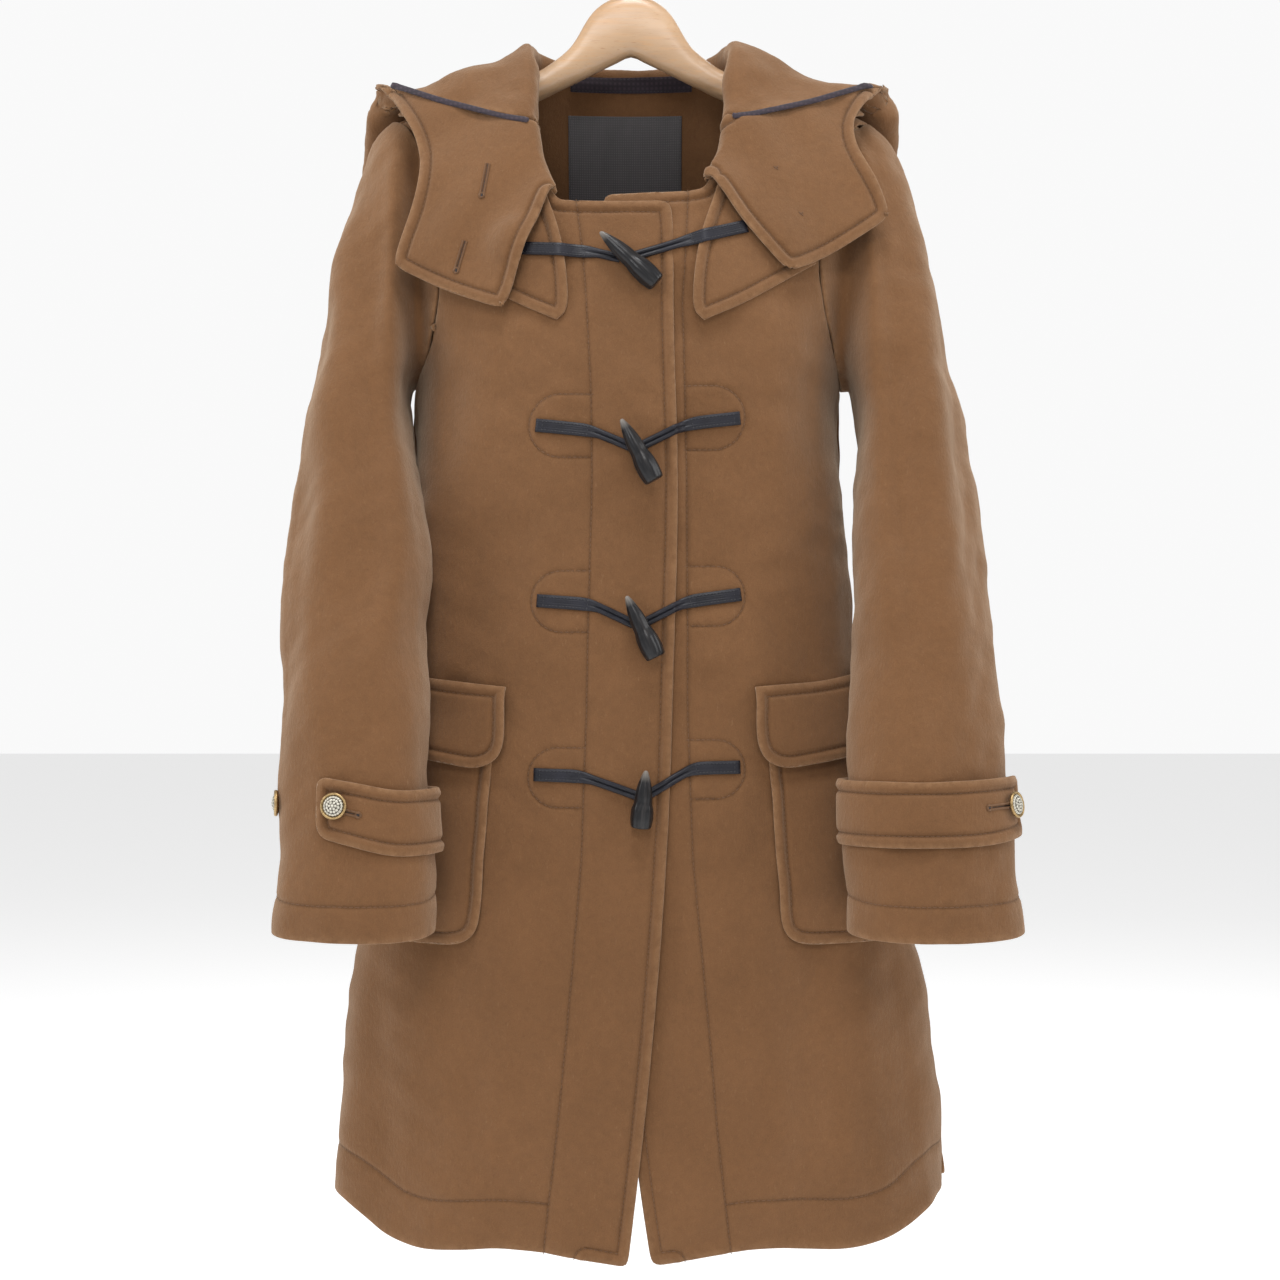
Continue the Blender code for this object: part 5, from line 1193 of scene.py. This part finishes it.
# ------------------------------------------------------------------ horn toggles
# Four toggles of dark polished horn: pointed at the tip, cut square at the base,
# with long shallow flutes and a waist where the leathers hold them.
horn, horn_tree, horn_shader = shade("polished_horn")
horn_place = add_node(horn_tree, "ShaderNodeAttribute", attribute_name="own_place")
horn_streaks = grain(horn_tree, horn_place.outputs["Vector"], 420, 3, 0.6, (1, 1, 0.06))
horn_clouds = grain(horn_tree, horn_place.outputs["Vector"], 90, 3, 0.5, (1, 1, 0.4))
horn_colour = blend(horn_tree, ramp(horn_tree, horn_streaks, 0.50, 0.78),
                    (0.0050, 0.0050, 0.0062), (0.034, 0.030, 0.029))
horn_along = add_node(horn_tree, "ShaderNodeSeparateXYZ")
horn_tree.links.new(horn_place.outputs["Vector"], horn_along.inputs[0])
horn_colour = blend(horn_tree, ramp(horn_tree, horn_along.outputs["Z"], 0.0080, 0.0005),
                    horn_colour, (0.18, 0.16, 0.14))
horn_tree.links.new(horn_colour, horn_shader.inputs["Base Color"])
horn_tree.links.new(ramp(horn_tree, horn_clouds, -0.7, 2.1), horn_shader.inputs["Roughness"])
horn_shader.inputs["Specular IOR Level"].default_value = 0.30
horn_shader.inputs["Coat Weight"].default_value = 0.16
horn_shader.inputs["Coat Roughness"].default_value = 0.12
horn_tree.links.new(bump(horn_tree, horn_streaks, 0.0004, 0.4), horn_shader.inputs["Normal"])

HornRing = namedtuple("HornRing", "share radius")
HORN = (
    HornRing(0.000, 0.0002),
    HornRing(0.004, 0.0009),
    HornRing(0.020, 0.0016),
    HornRing(0.12, 0.0033),
    HornRing(0.30, 0.0054),
    HornRing(0.45, 0.0063),
    HornRing(0.55, 0.0062),
    HornRing(0.68, 0.0079),
    HornRing(0.85, 0.0082),
    HornRing(0.965, 0.0074),
    HornRing(0.992, 0.0069),
    HornRing(1.000, 0.0058),
)
FLUTES = 7
for number in range(1, 5):
    places = np.array([v.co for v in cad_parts[f"toggle_{number}"].data.vertices])
    row = TOGGLES[number - 1]
    guess = np.array((row.base[0] - row.tip[0], 0, row.base[1] - row.tip[1]))
    for _ in range(2):
        guess /= np.linalg.norm(guess)
        order = places @ guess
        tip = places[order < order.min() + 0.0004].mean(axis=0)
        base = places[order > order.max() - 0.0004].mean(axis=0)
        guess = base - tip
    length = np.linalg.norm(guess)
    axis = guess / length
    across = np.cross(axis, (0, 1, 0))
    across /= np.linalg.norm(across)
    up = np.cross(across, axis)
    shares = np.concatenate(([0, 0.004, 0.012, 0.024], np.linspace(0.05, 0.955, 44),
                             [0.975, 0.988, 0.995, 1.0]))
    radii = np.interp(shares, [r.share for r in HORN], [r.radius for r in HORN])
    for _ in range(4):
        radii[4:-5] = 0.5 * radii[4:-5] + 0.25 * (radii[3:-6] + radii[5:-4])
    rings = []
    for share, radius in zip(shares, radii):
        ring = []
        for turn in np.linspace(0, 2 * pi, 57)[:-1]:
            flute = abs(cos(FLUTES * (turn + 0.35 * share + number) / 2)) ** 0.7
            depth = 0.085 * min(1.0, share * 6) * (1 if share < 0.99 else 0.6)
            reach = radius * (1 - depth * (1 - flute))
            ring.append(tip + axis * share * length
                        + reach * (across * cos(turn) + up * sin(turn)))
        rings.append(ring)

    def on_horn(points, tip=tip, across=across, up=up, axis=axis):
        away = points - tip
        return np.column_stack((away @ across, away @ up, away @ axis))

    toggle = swept(f"horn_{number}", rings, horn, on_horn)
    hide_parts(f"toggle_{number}")

# ------------------------------------------------------------------ cuff buttons
# Two buttons on each cuff: a gilt rim round a pale, domed face with a raised
# flower of small beads.
gilt, gilt_tree, gilt_shader = shade("gilt_rim")
gilt_place = add_node(gilt_tree, "ShaderNodeTexCoord").outputs["Object"]
gilt_wear = grain(gilt_tree, gilt_place, 900, 3, 0.6)
gilt_tree.links.new(blend(gilt_tree, ramp(gilt_tree, gilt_wear, 0.35, 0.7),
                          (0.30, 0.195, 0.085), (0.58, 0.42, 0.21)),
                    gilt_shader.inputs["Base Color"])
gilt_shader.inputs["Metallic"].default_value = 1.0
gilt_tree.links.new(ramp(gilt_tree, gilt_wear, -0.4, 1.7), gilt_shader.inputs["Roughness"])
pearl, pearl_tree, pearl_shader = shade("pale_dome")
pearl_place = add_node(pearl_tree, "ShaderNodeTexCoord").outputs["Object"]
pearl_sunk = add_node(pearl_tree, "ShaderNodeAttribute", attribute_name="own_place")
pearl_low = add_node(pearl_tree, "ShaderNodeSeparateXYZ")
pearl_tree.links.new(pearl_sunk.outputs["Vector"], pearl_low.inputs[0])
pearl_colour = blend(pearl_tree, grain(pearl_tree, pearl_place, 700, 3),
                     (0.44, 0.41, 0.33), (0.68, 0.66, 0.58))
pearl_colour = blend(pearl_tree, ramp(pearl_tree, pearl_low.outputs["Z"], 0.35, 0.0),
                     pearl_colour, (0.055, 0.045, 0.030))
pearl_tree.links.new(pearl_colour, pearl_shader.inputs["Base Color"])
pearl_shader.inputs["Metallic"].default_value = 0.35
pearl_shader.inputs["Roughness"].default_value = 0.28
BUTTON_RADIUS = 0.0092
ButtonRing = namedtuple("ButtonRing", "radius rise")
BUTTON_RIM = (
    ButtonRing(0.30, 0.0000), ButtonRing(0.50, 0.0001), ButtonRing(0.90, 0.0009),
    ButtonRing(0.97, 0.0014), ButtonRing(1.00, 0.0021), ButtonRing(0.99, 0.0028),
    ButtonRing(0.95, 0.0033), ButtonRing(0.90, 0.0035), ButtonRing(0.85, 0.0033),
    ButtonRing(0.82, 0.0029), ButtonRing(0.80, 0.0024), ButtonRing(0.30, 0.0022),
)
DOME_RADIUS = 0.80
DOME_RISE = 0.0030
beads = [(0.0, 0.0, 0.13)]
beads += [(0.30 * cos(a), 0.30 * sin(a), 0.115) for a in np.linspace(0, 2 * pi, 7)[:-1]]
beads += [(0.56 * cos(a + 0.2), 0.56 * sin(a + 0.2), 0.120)
          for a in np.linspace(0, 2 * pi, 13)[:-1]]
beads += [(0.84 * cos(a), 0.84 * sin(a), 0.110) for a in np.linspace(0, 2 * pi, 21)[:-1]]
beads = np.array(beads)
for name, side in (("right", -1), ("left", 1)):
    for number in (1, 2):
        node = f"cuff_button_{name}_{number}"
        places = np.array([v.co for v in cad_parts[node].data.vertices])
        middle = (places.max(axis=0) + places.min(axis=0)) / 2
        middle = np.unique(np.round(places, 5), axis=0).mean(axis=0)
        _, _, ways = np.linalg.svd(np.unique(np.round(places, 5), axis=0) - middle)
        axis = ways[2]
        outward = middle - np.array((side * 0.205, -0.115, middle[2]))
        axis = axis * np.sign(axis @ outward)
        foot = middle - axis * (middle @ axis - (places @ axis).min())
        across = np.cross(axis, (0, 0, 1))
        across /= np.linalg.norm(across)
        up = np.cross(across, axis)
        turns = np.linspace(0, 2 * pi, 65)[:-1]
        spokes = across * np.cos(turns)[:, None] + up * np.sin(turns)[:, None]
        rim = swept(f"button_rim_{name}_{number}", [
            foot + axis * ring.rise + spokes * ring.radius * BUTTON_RADIUS
            for ring in BUTTON_RIM], gilt)
        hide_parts(node)
        rings, marks = [], []
        for share in np.concatenate(([1.0], np.linspace(1.0, 0.02, 30))):
            ring = []
            for turn, spoke in zip(turns, spokes):
                spot = np.array((share * cos(turn), share * sin(turn)))
                near = np.linalg.norm(beads[:, :2] - spot, axis=1) / beads[:, 2]
                raised = float(np.sqrt(max(0.0, 1 - near.min()**2)))
                rise = 0.0022 + DOME_RISE * (1 - share**2) ** 0.8 * 0.9 + 0.0005 * raised
                if not rings:
                    rise, raised = 0.0019, 0.0
                ring.append(foot + axis * rise + spoke * share * DOME_RADIUS * BUTTON_RADIUS)
                marks.append((spot[0], spot[1], raised))
            rings.append(ring)
        marks = np.array(marks + [(0, 0, 0), (0, 0, 1)])
        swept(f"button_face_{name}_{number}", rings, pearl, lambda p, m=marks: m)

# ------------------------------------------------------------------ buttonholes
# Worked buttonholes, two on the right throat flap and one in each cuff tab, and
# the thread that holds the flap's buttons on the other side.
Slit = namedtuple("Slit", "name cloth start end")
SLITS = (
    Slit("flap_high", "hood_flap_cloth_right", (-0.1017, -0.0693, -0.2051),
         (-0.1062, -0.0768, -0.2282)),
    Slit("flap_low", "hood_flap_cloth_right", (-0.1179, -0.0824, -0.2614),
         (-0.1235, -0.0841, -0.2824)),
    Slit("cuff_right", "cuff_strap_cloth_right", (-0.2030, -0.1670, -0.6580),
         (-0.1835, -0.1700, -0.6625)),
    Slit("cuff_left", "cuff_strap_cloth_left", (0.2640, -0.1400, -0.6580),
         (0.2440, -0.1560, -0.6590)),
)
for slit in SLITS:
    skin = cloth_skins[slit.cloth]
    start, end = np.array(slit.start), np.array(slit.end)
    way = (end - start) / np.linalg.norm(end - start)
    middle_line, sides_of_it = [], [[], []]
    for share in np.linspace(0, 1, 24):
        spot, out, _, _ = skin.find_nearest(Vector(start * (1 - share) + end * share))
        out = np.array(out)
        out *= -1 if out[1] > 0 else 1
        aside = np.cross(way, out)
        aside /= np.linalg.norm(aside)
        middle_line.append(np.array(spot) + out * 0.0001)
        for k, sign in enumerate((-1, 1)):
            sides_of_it[k].append(np.array(spot) + out * 0.0002 + sign * aside * 0.00135)
    eyelet = [middle_line[-1] + 0.0018 * (way * cos(a) + aside * sin(a)) + out * 0.0002
              for a in np.linspace(0, 2 * pi, 20)]
    sew(f"buttonhole_{slit.name}", [np.array(s) for s in (*sides_of_it, eyelet)], 0.00060,
        0.00066, 0.00185, wool_thread)
    pupil = [middle_line[-1] + way * step for step in np.linspace(-0.0008, 0.0008, 5)]
    sew(f"buttonhole_slit_{slit.name}", [np.array(middle_line)], 0.0009, 0.0016, 0.00050,
        waxed)
    sew(f"buttonhole_eyelet_{slit.name}", [np.array(pupil)], 0.0005, 0.0012, 0.0016, waxed)
for number, spot in enumerate(((0.1037, -0.0697, -0.2074), (0.1212, -0.0767, -0.2411)), 1):
    near, out, _, _ = cloth_skins["hood_flap_cloth_left"].find_nearest(Vector(spot))
    out = np.array(out) * (-1 if out[1] > 0 else 1)
    knot = [np.array(near) + out * 0.0002 + np.array(step) for step in
            ((-0.0012, 0, 0.0010), (-0.0004, 0, 0.0003), (0.0004, 0, -0.0003),
             (0.0012, 0, -0.0010))]
    cross = [np.array(near) + out * 0.0002 + np.array(step) for step in
             ((-0.0012, 0, -0.0010), (-0.0004, 0, -0.0003), (0.0004, 0, 0.0003),
              (0.0012, 0, 0.0010))]
    sew(f"button_thread_{number}", [np.array(knot), np.array(cross)], 0.0006, 0.0012, 0.0009)

# ------------------------------------------------------------------ the hanger
# A flat-arched hanger turned and shaped from beech, clear lacquered, with a
# plated wire hook screwed into its top.
beech, beech_tree, beech_shader = shade("lacquered_beech")
beech_place = add_node(beech_tree, "ShaderNodeTexCoord").outputs["Object"]
beech_bands = grain(beech_tree, beech_place, 70, 3, 0.55, (0.16, 1, 1))
beech_streaks = grain(beech_tree, beech_place, 520, 3, 0.6, (0.05, 1, 1))
beech_flecks = grain(beech_tree, beech_place, 1300, 2, 0.5, (0.10, 1, 1))
beech_colour = blend(beech_tree, ramp(beech_tree, beech_bands, 0.30, 0.72),
                     (0.385, 0.238, 0.132), (0.500, 0.330, 0.198))
beech_colour = blend(beech_tree, ramp(beech_tree, beech_streaks, 0.48, 0.80), beech_colour,
                     (0.50, 0.285, 0.135))
beech_colour = blend(beech_tree, ramp(beech_tree, beech_flecks, 0.62, 0.80), beech_colour,
                     (0.36, 0.190, 0.085))
beech_tree.links.new(beech_colour, beech_shader.inputs["Base Color"])
beech_tree.links.new(ramp(beech_tree, beech_streaks, -0.5, 2.0),
                     beech_shader.inputs["Roughness"])
beech_shader.inputs["Coat Weight"].default_value = 0.30
beech_shader.inputs["Coat Roughness"].default_value = 0.20
beech_tree.links.new(bump(beech_tree, beech_flecks, 0.0002, 0.25),
                     beech_shader.inputs["Normal"])
points, triangles = outer_side("hanger", None, None)
points, triangles = refine(points, triangles, 0.0048, 2)
mesh = bpy.data.meshes.new("hanger_wood")
mesh.from_pydata(points.tolist(), [], triangles.tolist())
mesh.shade_smooth()
mesh.materials.append(beech)
hanger = bpy.data.objects.new("hanger_wood", mesh)
bpy.context.scene.collection.objects.link(hanger)
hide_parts("hanger")
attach(hanger, "root")

plate, plate_tree, plate_shader = shade("plated_wire")
plate_place = add_node(plate_tree, "ShaderNodeTexCoord").outputs["Object"]
plate_haze = grain(plate_tree, plate_place, 400, 3, 0.6)
plate_tree.links.new(blend(plate_tree, plate_haze, (0.50, 0.48, 0.45), (0.66, 0.64, 0.60)),
                     plate_shader.inputs["Base Color"])
plate_shader.inputs["Metallic"].default_value = 1.0
plate_tree.links.new(ramp(plate_tree, plate_haze, -0.4, 2.6), plate_shader.inputs["Roughness"])
WIRE = 0.0020
HOOK_INSIDE = 0.0200
HookPoint = namedtuple("HookPoint", "reach height")
HOOK_STEM = (
    HookPoint(0.0000, -0.0617),
    HookPoint(0.0000, -0.0557),
    HookPoint(0.0000, -0.0497),
    HookPoint(0.0045, -0.0442),
    HookPoint(0.0115, -0.0402),
)
path = [(p.reach, p.height) for p in HOOK_STEM]
path += [((HOOK_INSIDE + WIRE) * cos(t), -HOOK_INSIDE + (HOOK_INSIDE + WIRE) * sin(t))
         for t in np.linspace(radians(-38), radians(205), 22)]
path = np.array(path)
steps = np.linspace(0, len(path) - 1, 160)
path = np.column_stack([np.interp(steps, range(len(path)), path[:, k]) for k in (0, 1)])
for _ in range(10):
    path[1:-1] = 0.5 * path[1:-1] + 0.25 * (path[:-2] + path[2:])
along = np.gradient(path, axis=0)
along /= np.linalg.norm(along, axis=1, keepdims=True)
rings = []
for k, (spot, way) in enumerate(zip(path, along)):
    radius = WIRE * min(1.0, 0.35 + 0.22 * min(k, 160 - 1 - k))
    rings.append([(spot[0] - way[1] * radius * cos(a), radius * sin(a),
                   spot[1] + way[0] * radius * cos(a))
                  for a in np.linspace(0, 2 * pi, 21)[:-1]])
hook = swept("hook_wire", rings, plate)
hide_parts("hanger_hook")

# ------------------------------------------------------------------ the studio
# A pale floor well below the hem, soft light from the front and both sides.
floor_mesh = bpy.data.meshes.new("studio_floor")
FLOOR_HEIGHT = -1.25
floor_mesh.from_pydata([(-12, -12, FLOOR_HEIGHT), (12, -12, FLOOR_HEIGHT),
                        (12, 12, FLOOR_HEIGHT), (-12, 12, FLOOR_HEIGHT)], [], [(0, 1, 2, 3)])
floor_paint, floor_tree, floor_shader = shade("pale_floor")
floor_shader.inputs["Base Color"].default_value = (0.90, 0.90, 0.90, 1.0)
floor_shader.inputs["Roughness"].default_value = 0.9
floor_shader.inputs["Emission Color"].default_value = (1.0, 1.0, 1.0, 1.0)
floor_shader.inputs["Emission Strength"].default_value = 0.42
floor_mesh.materials.append(floor_paint)
floor = bpy.data.objects.new("studio_floor", floor_mesh)
bpy.context.scene.collection.objects.link(floor)

Lamp = namedtuple("Lamp", "name x y z width power")
LAMPS = (
    Lamp("front_soft", -0.25, -2.2, 0.9, 0.9, 17),
    Lamp("top_soft", 0.05, -0.80, 1.5, 0.7, 26),
    Lamp("right_soft", 2.3, -0.7, 0.5, 1.4, 24),
    Lamp("left_soft", -2.3, -0.7, 0.6, 1.4, 30),
    Lamp("back_soft", 0.3, 2.2, 1.2, 1.6, 12),
)
for lamp in LAMPS:
    light = bpy.data.lights.new(lamp.name, "AREA")
    light.shape = "SQUARE"
    light.size = lamp.width
    light.energy = lamp.power
    holder = bpy.data.objects.new(lamp.name, light)
    holder.location = (lamp.x, lamp.y, lamp.z)
    aim = Vector((0, 0, -0.55)) - holder.location
    holder.rotation_euler = aim.to_track_quat("-Z", "Y").to_euler()
    bpy.context.scene.collection.objects.link(holder)
world = bpy.data.worlds.new("studio")
world.use_nodes = True
sky = world.node_tree
sky.nodes["Background"].inputs["Color"].default_value = (1.0, 1.0, 1.0, 1.0)
sky.nodes["Background"].inputs["Strength"].default_value = 0.42
backdrop = add_node(sky, "ShaderNodeBackground")
backdrop.inputs["Strength"].default_value = 0.95
seen = add_node(sky, "ShaderNodeLightPath")
either = add_node(sky, "ShaderNodeMixShader")
backdrop.inputs["Color"].default_value = (1.0, 1.0, 1.0, 1.0)
sky.links.new(seen.outputs["Is Camera Ray"], either.inputs["Fac"])
sky.links.new(sky.nodes["Background"].outputs["Background"], either.inputs[1])
sky.links.new(backdrop.outputs["Background"], either.inputs[2])
sky.links.new(either.outputs["Shader"], sky.nodes["World Output"].inputs["Surface"])
bpy.context.scene.world = world
bpy.context.scene.view_settings.view_transform = "Standard"

CAMERA_AWAY = 1.65
view = bpy.data.cameras.new("studio_camera")
view.sensor_width = 36.0
view.lens = 36.0 * CAMERA_AWAY / 0.96
camera = bpy.data.objects.new("studio_camera", view)
camera.location = (0.00675, -CAMERA_AWAY, -0.545)
camera.rotation_euler = (pi / 2, 0, 0)
bpy.context.scene.collection.objects.link(camera)
bpy.context.scene.camera = camera
